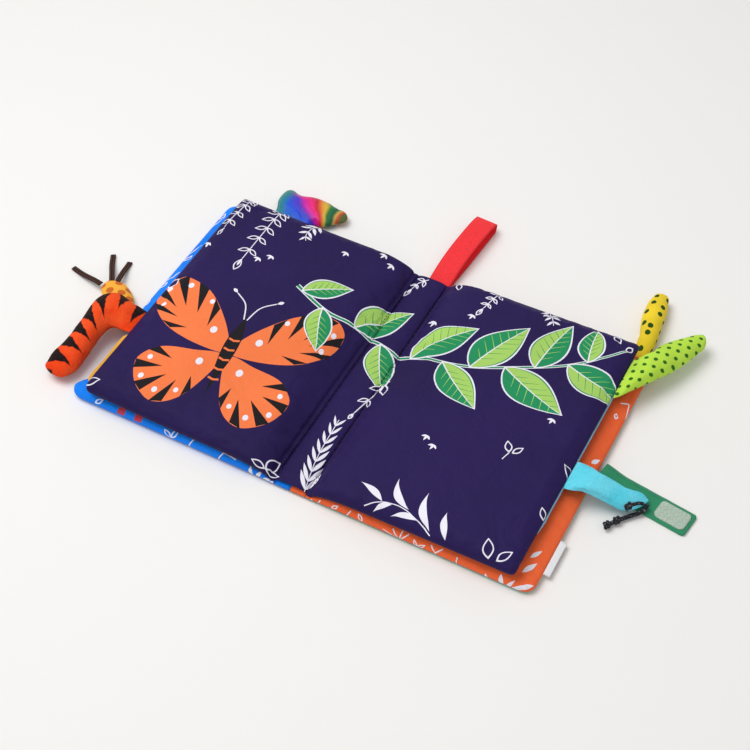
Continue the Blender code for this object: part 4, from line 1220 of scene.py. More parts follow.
    def under(self, x, y):
        """A point of the lower cloth, straight below its place in plan."""
        s = max(abs(x) - SEAM_X, 0.0)
        full = ease(self.depth(s, y), self.foot_edge) * ease(s - HEM, SWELL_RUN)
        z = self.middle(s, y) - HEM_HALF - self.swell * full
        return Vector((x - self.side * self.drawn_in(s, y), y, z))

    def outline(self, grown):
        """The leaf's outline in plan, grown or shrunk all round but at the hinge."""
        radius = self.edge + grown
        inner_s, inner_y = self.width - self.edge, self.height / 2 - self.edge
        top = inner_y + radius
        points = [(0.0, -top)]
        for start, y_sign in ((-math.pi / 2, -1), (0.0, 1)):
            for step in range(17):
                turn = start + math.pi / 2 * step / 16
                across, up = abs(math.cos(turn)), abs(math.sin(turn))
                points.append((inner_s + radius * across ** (2.0 / self.corner),
                               y_sign * (inner_y + radius * up ** (2.0 / self.corner))))
        points.append((0.0, top))
        points = [(self.side * (SEAM_X + s), y) for s, y in points]
        return points if self.side > 0 else points[::-1]

    def field(self, pitch, depths, grown=0.0):
        """Points inside the outline: rings near the rim, columns at the hinge, then a grid."""
        made = []
        for depth in depths:
            ring = divided(self.outline(grown - depth), pitch)
            made += [p for p in ring if abs(p[0]) > SEAM_X + 0.0004]
        half = self.height / 2 + grown
        last = 0.0
        for share in (0.0, 0.004, 0.018, 0.045, 0.09, 0.15, 0.23, 0.33, 0.45, 0.60, 0.8, 1.0):
            s = HEM + SWELL_RUN * share
            count = int(2 * half / pitch)
            for k in range(1, count):
                made.append((self.side * (SEAM_X + s), -half + 2 * half * k / count))
            last = s
        deep = max(depths)
        columns = int((self.width + grown - deep - last) / pitch)
        rows = int(2 * (half - deep) / pitch)
        for i in range(1, columns):
            for k in range(1, rows):
                shift = 0.5 * (i % 2)
                made.append((self.side * (SEAM_X + last + pitch * i),
                             -(half - deep) + pitch * (k + shift)))
        made += [(self.side * (SEAM_X + HEM * k / 3), -half + pitch * j)
                 for k in (1, 2) for j in range(1, int(2 * half / pitch))]
        return made


COVER = (COVER_WIDTH, COVER_HEIGHT, COVER_THICKNESS, COVER_HEM_Z, COVER_MID_Z)
PAGE = (PAGE_WIDTH, PAGE_HEIGHT + 0.0022, PAGE_THICKNESS, PAGE_HEM_Z, PAGE_MID_Z)
COVER_FORM = {"edge": COVER_EDGE, "foot_edge": 0.006}
PAGE_FORM = {"edge": 0.0062, "foot_edge": 0.0040, "corner": 4.2, "tuck": 0.0020, "bed": CROWN,
             "droops": 1.0, "early": 0.42}
FRONT_SLACK = ((-0.0960, -0.0300, 0.0070), (-0.1200, -0.0760, -0.0020))
LEAF_TABLE = {
    "front_cover": (LEFT, COVER, {**COVER_FORM, "tuck": 0.0022, "slack": FRONT_SLACK}),
    "back_cover": (RIGHT, COVER, {**COVER_FORM, "tuck": 0.0004}),
    "left_page": (LEFT, PAGE, {**PAGE_FORM, "rises": LEFT_RISES, "closing_room": -0.00060}),
    "right_page": (RIGHT, PAGE, {**PAGE_FORM, "rises": RIGHT_RISES, "closing_room": 0.00035}),
}
LEAVES = {}


def leaf_forms():
    """The forms of the four padded leaves."""
    if not LEAVES:
        for name, (side, form, own) in LEAF_TABLE.items():
            LEAVES[name] = Leaf(side, *form, **own)
            LEAVES[name].settle(name)
    return LEAVES


UPPER_DEPTHS = (0.0003, 0.0008, 0.0015, 0.0025, 0.004, 0.006, 0.008, 0.0105)
UNDER_DEPTHS = (0.0002, 0.0006, 0.0014, 0.0026, 0.0045, 0.007, 0.010)
PAGE_INKS = ("orange_ink", "black_ink", "white_ink", "leaf_ink", "lime_ink")


def make_leaf(name, shapes, stuffs, backing, layers, under_layer, slots):
    """Upper and lower cloth of one padded leaf."""
    form, pitch = leaf_forms()[name], sizes().mesh_pitch
    grown, inset = form.extra, -form.tuck
    upper = laid_cloth(name + "_upper_cloth", form.outline(grown),
                       form.field(pitch, UPPER_DEPTHS, grown), shapes, form.upper, stuffs, pitch)
    pitch *= 1.6
    under = laid_cloth(name + "_lower_cloth", form.outline(inset),
                       form.field(pitch, UNDER_DEPTHS, inset), [], form.under, backing, pitch)
    under.data.flip_normals()
    for made, slot, parts in ((upper, slots[0], layers), (under, slots[1], (under_layer,))):
        fitted(made, name, slot, *(name + "_" + part for part in parts))


class CLOTHBOOK_OT_stage(bpy.types.Operator):
    """Adds the camera, the floor and the soft light"""
    bl_idname = "clothbook.stage"
    bl_label = "Stage"

    def execute(self, context):
        scene = context.scene
        data = bpy.data.cameras.new("camera")
        data.lens = CAMERA_LENS
        data.sensor_width = CAMERA_SENSOR
        data.clip_end = CAMERA_REACH
        camera = linked("camera", data)
        camera.location = CAMERA_PLACE
        facing(camera, CAMERA_AIM - CAMERA_PLACE)
        scene.camera = camera
        scene.view_settings.view_transform = "Standard"
        mesh = bpy.data.meshes.new("floor")
        corners = ((-1, -1), (1, -1), (1, 1), (-1, 1))
        mesh.from_pydata([(x * FLOOR_REACH, y * FLOOR_REACH, 0.0) for x, y in corners], [],
                         [(0, 1, 2, 3)])
        floor = linked("floor", mesh)
        finish = Finish("floor")
        grain = finish.mottle(90.0, 3.0)
        colour = tuple(colours().floor)
        mesh.materials.append(finish.done(
            Base_Color=finish.mix(grain, tinted(colour, 0.99), colour),
            Roughness=0.85, Normal=finish.bump(grain, 0.02, 0.001), Specular_IOR_Level=0.2))
        scene.world = self.sky()
        self.lamps()
        return {"FINISHED"}

    def sky(self):
        """A bright background, which lights the scene less than it shows."""
        world = bpy.data.worlds.new("studio")
        world.use_nodes = True
        tree = Nodes(world.node_tree)
        path = tree.node("ShaderNodeLightPath").outputs
        shown = path["Is Camera Ray"]
        for ray in ("Is Glossy Ray", "Is Transmission Ray"):
            shown = tree.node("ShaderNodeMath", {"operation": "MAXIMUM"},
                              {0: shown, 1: path[ray]}).outputs[0]
        soft, seen = [tree.node("ShaderNodeBackground", None, {"Color": colour, "Strength": power})
                      for colour, power in ((shade(250, 250, 252), SKY_STRENGTH),
                                            (shade(247, 246, 244), 1.0))]
        both = tree.node("ShaderNodeMixShader", None,
                         {0: shown, 1: soft.outputs[0], 2: seen.outputs[0]})
        tree.node("ShaderNodeOutputWorld", None, {"Surface": both.outputs[0]})
        return world

    def lamps(self):
        data = bpy.data.lights.new("window_lamp", "AREA")
        data.energy, data.shape, data.size = WINDOW_ENERGY, "DISK", WINDOW_WIDTH
        lamp = linked("window_lamp", data)
        lamp.location = WINDOW_PLACE
        facing(lamp, -WINDOW_PLACE)
        for name, energy, spread, direction in LAMPS:
            data = bpy.data.lights.new(name, "SUN")
            data.energy, data.angle = energy, spread
            facing(linked(name, data), -Vector(direction))


def facing(made, direction):
    """Turns a camera or a lamp toward a direction."""
    made.rotation_mode = "QUATERNION"
    made.rotation_quaternion = direction.to_track_quat("-Z", "Y")


class CLOTHBOOK_OT_cords(bpy.types.Operator):
    """Adds the knotted cord and the three flat tufts"""
    bl_idname = "clothbook.cords"
    bl_label = "Cord and tufts"

    def execute(self, context):
        self.cord()
        self.tufts()
        return {"FINISHED"}

    def cord(self):
        line, short = [[Vector(place) for place in smooth_line(route, CORD_STEPS)]
                       for route in (CORD_ROUTE, CORD_SHORT_END)]
        made = self.strand("knotted_cord_braid", line, 1.0)
        knots = [self.strand("cord_short_end", short, 0.8),
                 self.knot("cord_short_end_knot", short[-1], short[-1] - short[-3])]
        for number, spot in enumerate(CORD_KNOTS):
            at = spot * CORD_STEPS
            ahead = line[min(at + 1, len(line) - 1)] - line[at - 1]
            knots.append(self.knot("cord_knot_%d" % (number + 1), line[at], ahead))
        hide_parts("knotted_cord")
        length_of(line)

    def strand(self, name, line, share):
        """A length of the cord."""
        made = tube(name, line, CORD_RADIUS * share, kept("dark_cord_braid", braided))
        return fitted(made, "blue_tail", "dark_cord")

    def knot(self, name, centre, ahead):
        """An overhand knot: a tight turn of the same cord."""
        ahead = ahead.normalized()
        aside = ahead.cross(UP).normalized()
        over = aside.cross(ahead).normalized()
        centre = centre + UP * 0.0006
        points = []
        for step in range(25):
            turn = math.tau * step / 24 * 1.5 + 0.4
            along = (step / 24 - 0.5) * 0.0034
            points.append(centre + ahead * along + aside * 0.00145 * math.cos(turn)
                          + over * 0.00110 * math.sin(turn))
        return self.strand(name, points, 0.86)

    def tufts(self):
        tail = tail_forms()["tufted_tail"]
        for name, shares, degrees, shown in TUFTS:
            heading, ahead = math.radians(degrees), compass(degrees)
            aside = Vector((ahead.y, -ahead.x, 0.0))
            root = tail.spot(*shares) + ahead * 0.0010
            low = 0.0008 + TUFT_THICKNESS / 2
            high = 0.0006 + tail.thickness * 0.72
            hidden = max(0.0, TUFT_SEWN_IN - shown)
            line = [root - ahead * hidden * (1.0 - k / 6) + UP * high for k in range(6) if hidden]
            for step in range(25):
                share = step / 24
                fall = (1.0 + math.cos(math.pi * share)) / 2
                sway = math.sin(share * 5.0 + heading) * 0.0005 * share
                line.append(root + ahead * shown * share + aside * sway
                            + UP * between(low, high, fall))
            made = flat_band(name + "_strip", line, [aside] * len(line),
                             lambda share: TUFT_WIDTH / 2, TUFT_THICKNESS,
                             kept("brown_tuft_cloth", tuft_cloth), cup=0.12)
            fitted(made, "tufted_tail", "brown_tuft", name)
            tuple(line[0])
            length_of(line)
            [tuple(point) for point in line]


def ahead_at(line, index):
    """The direction of a line at one of its points."""
    return (line[min(index + 1, len(line) - 1)] - line[max(index - 1, 0)]).normalized()


def faced(form, corners, layers, spots):
    """Adds one smooth face, with a place on each UV map for each corner."""
    face = form.faces.new(corners)
    face.smooth = True
    for loop, places in zip(face.loops, spots):
        for layer, place in zip(layers, places):
            loop[layer].uv = place


def tube(name, line, radius, stuff):
    """A closed round tube along points, with a UV map of its length and turn."""
    form = bmesh.new()
    uv = form.loops.layers.uv.new("share")
    total = length_of(line)
    rings, runs, run = [], [], 0.0
    sides = CORD_SIDES
    aside = ahead_at(line, 0).cross(UP).normalized()
    for index, point in enumerate(line):
        ahead = ahead_at(line, index)
        aside = (aside - ahead * aside.dot(ahead)).normalized()
        over = aside.cross(ahead).normalized()
        if index:
            run += (point - line[index - 1]).length
        turns = [math.tau * k / sides for k in range(sides)]
        rings.append([form.verts.new(point + (aside * math.cos(turn) + over * math.sin(turn))
                                     * radius) for turn in turns])
        runs.append(run / total)
    for index in range(len(rings) - 1):
        low, high = index, index + 1
        for k in range(sides):
            there = (k + 1) % sides
            faced(form, (rings[low][k], rings[low][there], rings[high][there], rings[high][k]),
                  (uv,), [((runs[row], around / sides),) for row, around in
                          ((low, k), (low, k + 1), (high, k + 1), (high, k))])
    for ring, centre in ((rings[0], line[0]), (rings[-1], line[-1])):
        pole = form.verts.new(centre)
        for k in range(sides):
            form.faces.new((ring[k], ring[(k + 1) % sides], pole)).smooth = True
    return closed(name, form, stuff)


def flat_band(name, line, asides, half_of, thickness, stuff, cup=0.0, columns=6):
    """A flat closed band along points, with a UV map in metres."""
    form = bmesh.new()
    uv = form.loops.layers.uv.new("metric")
    total = length_of(line)
    upper, lower, spots, run = [], [], [], 0.0
    for index, point in enumerate(line):
        aside = asides[index]
        normal = aside.cross(ahead_at(line, index)).normalized()
        if index:
            run += (point - line[index - 1]).length
        half = half_of(run / total)
        for row in (upper, lower, spots):
            row.append([])
        for k in range(columns + 1):
            across = 2 * k / columns - 1.0
            bow = cup * half * (1.0 - across * across) * 0.5
            thin = thickness / 2 * (1.0 - 0.25 * across ** 4)
            place = point + aside * half * across + normal * bow
            upper[-1].append(form.verts.new(place + normal * thin))
            lower[-1].append(form.verts.new(place - normal * thin))
            spots[-1].append(((run, half * across),))
    for rows, turn in ((upper, 1), (lower, -1)):
        for i in range(len(rows) - 1):
            for k in range(columns):
                ring = ((i, k), (i, k + 1), (i + 1, k + 1), (i + 1, k))[::turn]
                faced(form, [rows[a][b] for a, b in ring], (uv,), [spots[a][b] for a, b in ring])
    last = len(line) - 1
    rim = [(0, k) for k in range(columns + 1)] + [(i, columns) for i in range(1, last + 1)]
    rim += [(last, k) for k in range(columns - 1, -1, -1)] + [(i, 0) for i in range(last - 1, 0, -1)]
    for (i, k), (j, m) in zip(rim, rim[1:] + rim[:1]):
        faced(form, (upper[i][k], lower[i][k], lower[j][m], upper[j][m]), (uv,),
              (spots[i][k], spots[i][k], spots[j][m], spots[j][m]))
    return closed(name, form, stuff)


CORD_RADIUS, CORD_STEPS, CORD_SIDES = 0.0014, 4, 14
CORD_KNOTS = (6, 8)
CORD_ROUTE = (
    (0.2027, -0.0097, 0.0060), (0.2024, -0.0128, 0.0046), (0.2004, -0.0156, 0.0034),
    (0.1977, -0.0183, 0.0027), (0.1950, -0.0213, 0.0027), (0.1923, -0.0245, 0.0027),
    (0.1899, -0.0275, 0.0027), (0.1877, -0.0306, 0.0027), (0.1857, -0.0337, 0.0027),
)
CORD_SHORT_END = ((0.2002, -0.0108, 0.0070), (0.1977, -0.0136, 0.0092),
                  (0.1949, -0.0167, 0.0094), (0.1932, -0.0185, 0.0084))
TUFT_WIDTH, TUFT_THICKNESS, TUFT_SEWN_IN = 0.0038, 0.0008, 0.0305
TUFTS = (
    ("tuft_outer", (0.880, 0.434), 166.5, 0.0306),
    ("tuft_middle", (0.800, 0.606), 124.1, 0.0282),
    ("tuft_inner", (0.690, 0.620), 104.9, 0.0229),
)


# Stuffed tails: rows of shares as the solids have them

TAIL_ROOT_THICKNESS = 0.0015
TAIL_FLOAT = 0.0006
HELD_RINGS = 8
TAIL_SIDES, TAIL_SEAM, ROOT_FOLDS = 32, 0.05, 0.0005
LUMPS = ((1.0, 95.0), (0.5, 240.0))
WEST, EAST, NORTH = (-1.0, 0.0, 0.0), (1.0, 0.0, 0.0), (0.0, 1.0, 0.0)
TAIL_TABLE = {
    "striped_tail": (0.080, 0.0145, (-PAGE_EDGE_X - SEW_GAP, -0.0365, LEFT_EDGE_Z), WEST, NORTH, (
        (0.000, 0.131, 0.000, -0.131, 1.0, 0.0), (0.088, 0.144, 0.075, -0.131, 1.0, 0.45),
        (0.188, 0.162, 0.138, -0.131, 1.0, 0.8), (0.325, 0.176, 0.181, -0.144, 1.0, 0.97),
        (0.425, 0.106, 0.200, -0.181, 0.97, 1.0), (0.452, -0.044, 0.212, -0.244, 0.87, 1.0),
        (0.448, -0.244, 0.219, -0.344, 0.68, 1.0), (0.458, -0.425, 0.222, -0.475, 0.44, 0.98),
        (0.490, -0.570, 0.234, -0.595, 0.2, 0.92), (0.490, -0.650, 0.268, -0.675, 0.07, 0.7)),
        (0.392, -0.726, 0.04)),
    "tufted_tail": (0.042, 0.0074, (-COVER_EDGE_X - SEW_GAP, -0.0298, COVER_MID_Z), WEST, NORTH, (
        (0.000, 0.245, 0.000, -0.243, 1.0, 0.0), (0.160, 0.345, 0.130, -0.190, 1.0, 0.6),
        (0.320, 0.460, 0.300, -0.080, 1.0, 0.92), (0.470, 0.550, 0.490, 0.040, 0.95, 1.0),
        (0.620, 0.615, 0.680, 0.160, 0.85, 0.9), (0.760, 0.610, 0.820, 0.290, 0.72, 0.62)),
        (0.885, 0.480, 0.62)),
    "rainbow_tail": (0.050, 0.0090, (-0.1190, HEAD_Y + SEW_GAP, COVER_MID_Z), NORTH, EAST, (
        (0.000, -0.270, 0.000, 0.290, 1.0, 0.0), (0.200, -0.315, 0.100, 0.310, 0.9, 0.5),
        (0.430, -0.390, 0.165, 0.350, 0.6, 0.85), (0.640, -0.350, 0.195, 0.400, 0.3, 1.0),
        (0.645, -0.120, 0.215, 0.450, 0.1, 1.0), (0.700, 0.120, 0.240, 0.495, 0.0, 0.96),
        (0.690, 0.330, 0.305, 0.555, 0.0, 0.78), (0.635, 0.530, 0.390, 0.630, 0.0, 0.52)),
        (0.550, 0.715, 0.0)),
    "lime_tail": (0.080, 0.0115, (PAGE_EDGE_X + SEW_GAP, 0.0680, RIGHT_EDGE_Z), EAST, NORTH, (
        (0.000, 0.232, 0.000, -0.232, 1.0, 0.0), (0.062, 0.310, 0.088, -0.125, 0.98, 0.5),
        (0.125, 0.416, 0.175, 0.008, 0.9, 0.82), (0.194, 0.550, 0.262, 0.160, 0.76, 1.0),
        (0.269, 0.660, 0.344, 0.322, 0.62, 1.0), (0.342, 0.755, 0.412, 0.495, 0.5, 0.9),
        (0.405, 0.810, 0.455, 0.635, 0.42, 0.62)),
        (0.468, 0.758, 0.38)),
    "yellow_tail": (0.060, 0.0120, (0.1510, HEAD_Y + SEW_GAP, COVER_MID_Z), NORTH, EAST, (
        (0.000, -0.050, 0.000, 0.092, 1.0, 0.0), (0.100, -0.050, 0.100, 0.130, 0.8, 0.42),
        (0.250, -0.075, 0.233, 0.142, 0.4, 0.76), (0.417, -0.105, 0.417, 0.130, 0.1, 0.94),
        (0.583, -0.135, 0.600, 0.110, 0.0, 0.98), (0.767, -0.150, 0.783, 0.080, 0.0, 0.92),
        (0.880, -0.130, 0.895, 0.050, 0.0, 0.7)),
        (0.960, -0.040, 0.0)),
    "blue_tail": (0.048, 0.0072, (PAGE_EDGE_X + SEW_GAP, -0.0190, RIGHT_EDGE_Z), EAST, NORTH, (
        (0.000, 0.237, 0.000, -0.243, 1.0, 0.0), (0.188, 0.252, 0.150, -0.210, 0.98, 0.6),
        (0.375, 0.262, 0.300, -0.172, 0.85, 0.95), (0.562, 0.270, 0.440, -0.135, 0.62, 1.0),
        (0.750, 0.280, 0.580, -0.105, 0.38, 1.0), (0.900, 0.285, 0.690, -0.085, 0.2, 0.86),
        (0.985, 0.245, 0.765, -0.060, 0.12, 0.5)),
        (0.925, 0.085, 0.12)),
}


class Tail:
    """The form of one stuffed tail, sewn in at an edge of a leaf."""

    def __init__(self, length, thickness, root, out, along, rows, tip):
        self.length, self.thickness = length, thickness
        self.root, self.out, self.along = Vector(root), Vector(out), Vector(along)
        self.rows, self.tip = rows, tip

    def spot(self, out_share, along_share):
        """A place in plan, from shares of the tail's length."""
        flat = self.out * out_share + self.along * along_share
        return Vector((self.root.x, self.root.y, 0.0)) + flat * self.length

    def height(self, share, thickness):
        """Height of a rib's middle, between lying down and its sewn-in edge."""
        lying = TAIL_FLOAT + thickness / 2
        return max(lying, between(TAIL_FLOAT + self.thickness / 2, self.root.z, share))

    def ribs(self, steps, end_steps):
        """Middle, half width and thickness of every rib, from the root to the tip."""
        made = []
        for row in smooth_line(self.rows, steps):
            first, second = self.spot(row[0], row[1]), self.spot(row[2], row[3])
            girth = between(TAIL_ROOT_THICKNESS, self.thickness, max(row[5], 0.0))
            middle = (first + second) / 2 + UP * self.height(row[4], girth)
            made.append((middle, (first - second) / 2, girth))
        middle, reach, girth = made[-1]
        far = self.spot(self.tip[0], self.tip[1]) + UP * self.height(self.tip[2], girth * 0.4)
        for step in range(1, end_steps):
            share = step / end_steps
            round_off = math.sqrt(1.0 - share * share)
            made.append((middle.lerp(far, share), reach * round_off, girth * round_off))
        return made, far

    def build(self, name, stuff, lump, seed):
        """The tail's cloth as one closed mesh, with UV maps in metres and in shares."""
        ribs, far = self.ribs(5, 6)
        sides, form = TAIL_SIDES, bmesh.new()
        layers = [form.loops.layers.uv.new(title) for title in ("metric", "share")]
        rings, marks, run = [], [], 0.0
        for index, (middle, reach, girth) in enumerate(ribs):
            if index:
                run += (middle - ribs[index - 1][0]).length
            ring, row = [], []
            aside, half = reach.normalized(), reach.length
            near_root = math.exp(-run / (self.length * 0.16))
            for k in range(sides):
                turn = math.tau * k / sides
                cos, sin = math.cos(turn), math.sin(turn)
                cusp = 1.0 + TAIL_SEAM * math.exp(-(sin / 0.16) ** 2) * min(1.0, run / 0.006)
                place = middle + aside * half * cos * cusp + UP * girth / 2 * sin
                bulge = 0.0
                for size, scale in LUMPS:
                    x, y, z = place * scale
                    bulge += lump * size * ripple(x, y, z + seed)
                folds = ROOT_FOLDS * near_root * ripple(cos * 5.0 * half / 0.01, sin, seed + 3.0)
                hold = min(1.0, run / 0.004) * min(1.0, half / 0.003)
                outward = (aside * cos + UP * sin * 1.3).normalized()
                moved = place + outward * (bulge + folds) * hold
                moved.z = max(moved.z, 0.0002)
                ring.append(form.verts.new(moved))
                away = half * cos + math.copysign((1.0 - abs(sin)) * girth * 0.22, cos)
                row.append((run, middle + aside * away, cos))
            rings.append(ring)
            marks.append(row)
        total = run + (far - ribs[-1][0]).length

        def face(corners, spots, k):
            lower = 0.0 if k < sides // 2 else 0.5
            faced(form, corners, layers, [((place.x, place.y + lower), (along / total, cos))
                                          for along, place, cos in spots])

        for index in range(len(rings) - 1):
            for k in range(sides):
                places = ((index, k), (index, (k + 1) % sides), (index + 1, (k + 1) % sides),
                          (index + 1, k))
                face([rings[a][b] for a, b in places], [marks[a][b] for a, b in places], k)
        for ring, row, centre, along in ((rings[0], marks[0], ribs[0][0], 0.0),
                                         (rings[-1], marks[-1], far, total)):
            pole = form.verts.new(centre)
            for k in range(sides):
                there = (k + 1) % sides
                face((ring[k], ring[there], pole), (row[k], row[there], (along, centre, 0.0)), k)
        made = closed(name, form, stuff)
        self.settle(name, made.data, sides)
        rounder = made.modifiers.new("Rounder", "SUBSURF")
        rounder.levels = rounder.render_levels = 2
        return made

    def settle(self, name, mesh, sides):
        """Lets the stuffed cloth come to rest, with its sewn-in end held."""
        points = [vertex.co.copy() for vertex in mesh.vertices]
        first = sides * 2
        held = [index < first or index == len(points) - 2 for index in range(len(points))]
        faces = [tuple(face.vertices) for face in mesh.polygons]
        rest = settled_points(name, points, faces, held, TAIL_GROWTH, TAIL_PRESSURE)
        for vertex, place in zip(mesh.vertices, rest):
            share = min(1.0, (vertex.index // sides) / HELD_RINGS)
            moved = vertex.co.lerp(place, share)
            vertex.co = Vector((moved.x, moved.y, max(moved.z, 0.0003)))


def tail_forms():
    """The forms of the six tails."""
    return {name: Tail(length, thickness, root, out, along, rows, tip)
            for name, (length, thickness, root, out, along, rows, tip) in TAIL_TABLE.items()}


class CLOTHBOOK_OT_leaves(bpy.types.Operator):
    """Adds the padded covers and pages with their prints"""
    bl_idname = "clothbook.leaves"
    bl_label = "Covers and pages"

    def execute(self, context):
        pages, inks = page_print(), printed("navy_cloth_print", *PAGE_INKS)
        blue_print, orange_print = lining_print(LEFT), lining_print(RIGHT)
        draw_border(blue_print, BLUE_BORDER)
        draw_border(orange_print, ORANGE_BORDER)
        for centre in CRIMSON_CENTRES:
            blue_print.add(turned(CRIMSON_PATCH, 0.15, centre), "crimson_ink")
        blue = printed("blue_lining_cloth", "white_ink", "crimson_ink")
        orange = printed("orange_lining_cloth", "white_ink")
        green, gold, sky = [{"ground": plain(name)}
                            for name in ("green_outer_cloth", "gold_backing", "sky_backing")]
        page_layers = ("face_cloth", "wadding", "crinkle_film")
        for name, shapes, stuffs, backing, layers, under, slots in (
                ("front_cover", blue_print.shapes, blue, green, ("blue_lining", "wadding"),
                 "outer_cloth", ("blue_cloth", "green_cloth")),
                ("back_cover", orange_print.shapes, orange, green,
                 ("orange_lining", "wadding", "crinkle_film"), "outer_cloth",
                 ("orange_cloth", "green_cloth")),
                ("left_page", pages, inks, gold, page_layers, "gold_backing",
                 ("navy_cloth", "gold_cloth")),
                ("right_page", pages, inks, sky, page_layers, "sky_backing",
                 ("navy_cloth", "sky_cloth"))):
            make_leaf(name, shapes, stuffs, backing, layers, under, slots)
        for name, page, start, end, half, beyond in BACKING_EDGES:
            self.backing_edge(name, page, start, end, half, beyond)
        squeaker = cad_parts["squeaker"]
        squeaker.data.materials.clear()
        squeaker.data.materials.append(moulded("squeaker_plastic", shade(218, 218, 210)))
        return {"FINISHED"}

    def backing_edge(self, name, page, start, end, half, beyond):
        """The backing's edge, where it shows as a line beside the page."""
        form, line = leaf_forms()[page], []
        for step in range(81):
            y = between(start, end, step / 80)
            level = form.middle(form.width, y) - 0.0012 + 0.0002 * ripple(y * 80.0, 2.0)
            reach = form.width + beyond + 0.0003 * ripple(y * 60.0, 7.0)
            line.append(Vector((form.side * (SEAM_X + reach), y, level)))

        def half_of(share):
            return half * min(1.0, 0.3 + 12.0 * share, 0.3 + 12.0 * (1.0 - share))

        colour = name.split("_")[0]
        strip = flat_band(name, line, [Vector((form.side, 0.0, 0.0))] * len(line), half_of,
                          CLOTH, plain(colour + "_backing"), columns=3)
        fitted(strip, page, colour + "_cloth")


BACKING_EDGES = (("gold_backing_edge", "left_page", -0.0940, -0.0490, 0.0020, 0.0014),
                 ("sky_backing_edge", "right_page", -0.0680, 0.0900, 0.0010, -0.0002))
CRIMSON_CENTRES = ((-126.5, -100.6), (-113.5, -100.2))
CRIMSON_PATCH = ((-3.2, -2.2), (2.4, -2.6), (3.4, 2.4), (-2.4, 2.6))


def draw_border(drawn, table):
    """Sprigs and lines where a lining shows past the page."""
    for base, heading, length, width in table["leaves"]:
        drawn.leaf(base, math.radians(heading), length, width)
    for start, end in table["lines"]:
        drawn.add(brush_line([start, end], 0.8))
    for base, heading, length, width in table["fronds"]:
        drawn.leaf(base, math.radians(heading), length, width, False)


BLUE_BORDER = {
    "leaves": (((-87.0, -104.0), 148, 8.0, 3.6), ((-87.0, -104.0), 70, 8.5, 3.6),
               ((-146.0, -102.5), 40, 6.5, 3.4), ((-165.0, -14.0), 100, 8.0, 3.0),
               ((-166.0, 4.0), 70, 8.0, 3.0), ((-165.0, 34.0), 60, 8.0, 3.0),
               ((-166.0, 60.0), 110, 8.0, 3.0), ((-165.0, 82.0), 80, 8.0, 3.0)),
    "lines": (((-76.0, -109.0), (-72.0, -98.5)), ((-54.0, -109.0), (-49.5, -98.5)),
              ((-49.5, -98.5), (-40.0, -99.5)), ((-172.0, 0.0), (-160.0, 22.0)),
              ((-172.0, 30.0), (-160.0, 52.0)), ((-172.0, 62.0), (-160.0, 84.0))),
    "fronds": (((-27.0, -108.0), 104, 10.0, 2.8), ((-24.0, -107.0), 72, 9.0, 2.8),
               ((-20.0, -106.0), 40, 9.0, 2.8), ((-22.0, -109.0), 12, 9.0, 2.6),
               ((-15.0, -107.0), 60, 7.0, 2.4)),
}
ORANGE_BORDER = {
    "leaves": (((30.0, -104.0), 40, 6.0, 3.0), ((52.0, -104.0), 130, 6.0, 3.0),
               ((89.6, -105.5), 118, 6.0, 2.6), ((89.6, -105.5), 40, 7.0, 2.6),
               ((160.3, 42.0), 100, 5.0, 3.2)),
    "lines": (((77.5, -106.0), (72.0, -99.5)), ((77.5, -106.0), (78.4, -98.5)),
              ((77.5, -106.0), (82.8, -99.0)), ((77.5, -106.0), (66.0, -102.5)),
              ((101.8, -107.5), (101.8, -103.5)), ((101.8, -103.5), (98.0, -99.5)),
              ((101.8, -103.5), (105.6, -99.0)), ((116.2, -108.0), (115.8, -100.0)),
              ((40.0, -107.0), (43.0, -100.0)), ((20.0, -107.0), (22.0, -101.0)),
              ((158.4, 55.4), (163.6, 59.0)), ((163.6, 59.0), (166.6, 47.2))),
    "fronds": (((136.0, -108.0), 95, 6.0, 2.4), ((146.5, -107.0), 104, 9.0, 3.2),
               ((149.0, -107.0), 62, 9.5, 2.4), ((151.0, -107.5), 38, 16.0, 3.6),
               ((157.5, -103.0), 42, 10.0, 3.2), ((154.6, -91.6), 59, 11.0, 3.4),
               ((155.1, -80.9), 61, 9.0, 3.0), ((160.2, 2.0), 58, 7.5, 3.0),
               ((16.0, -103.0), -90, 6.0, 2.2)),
}


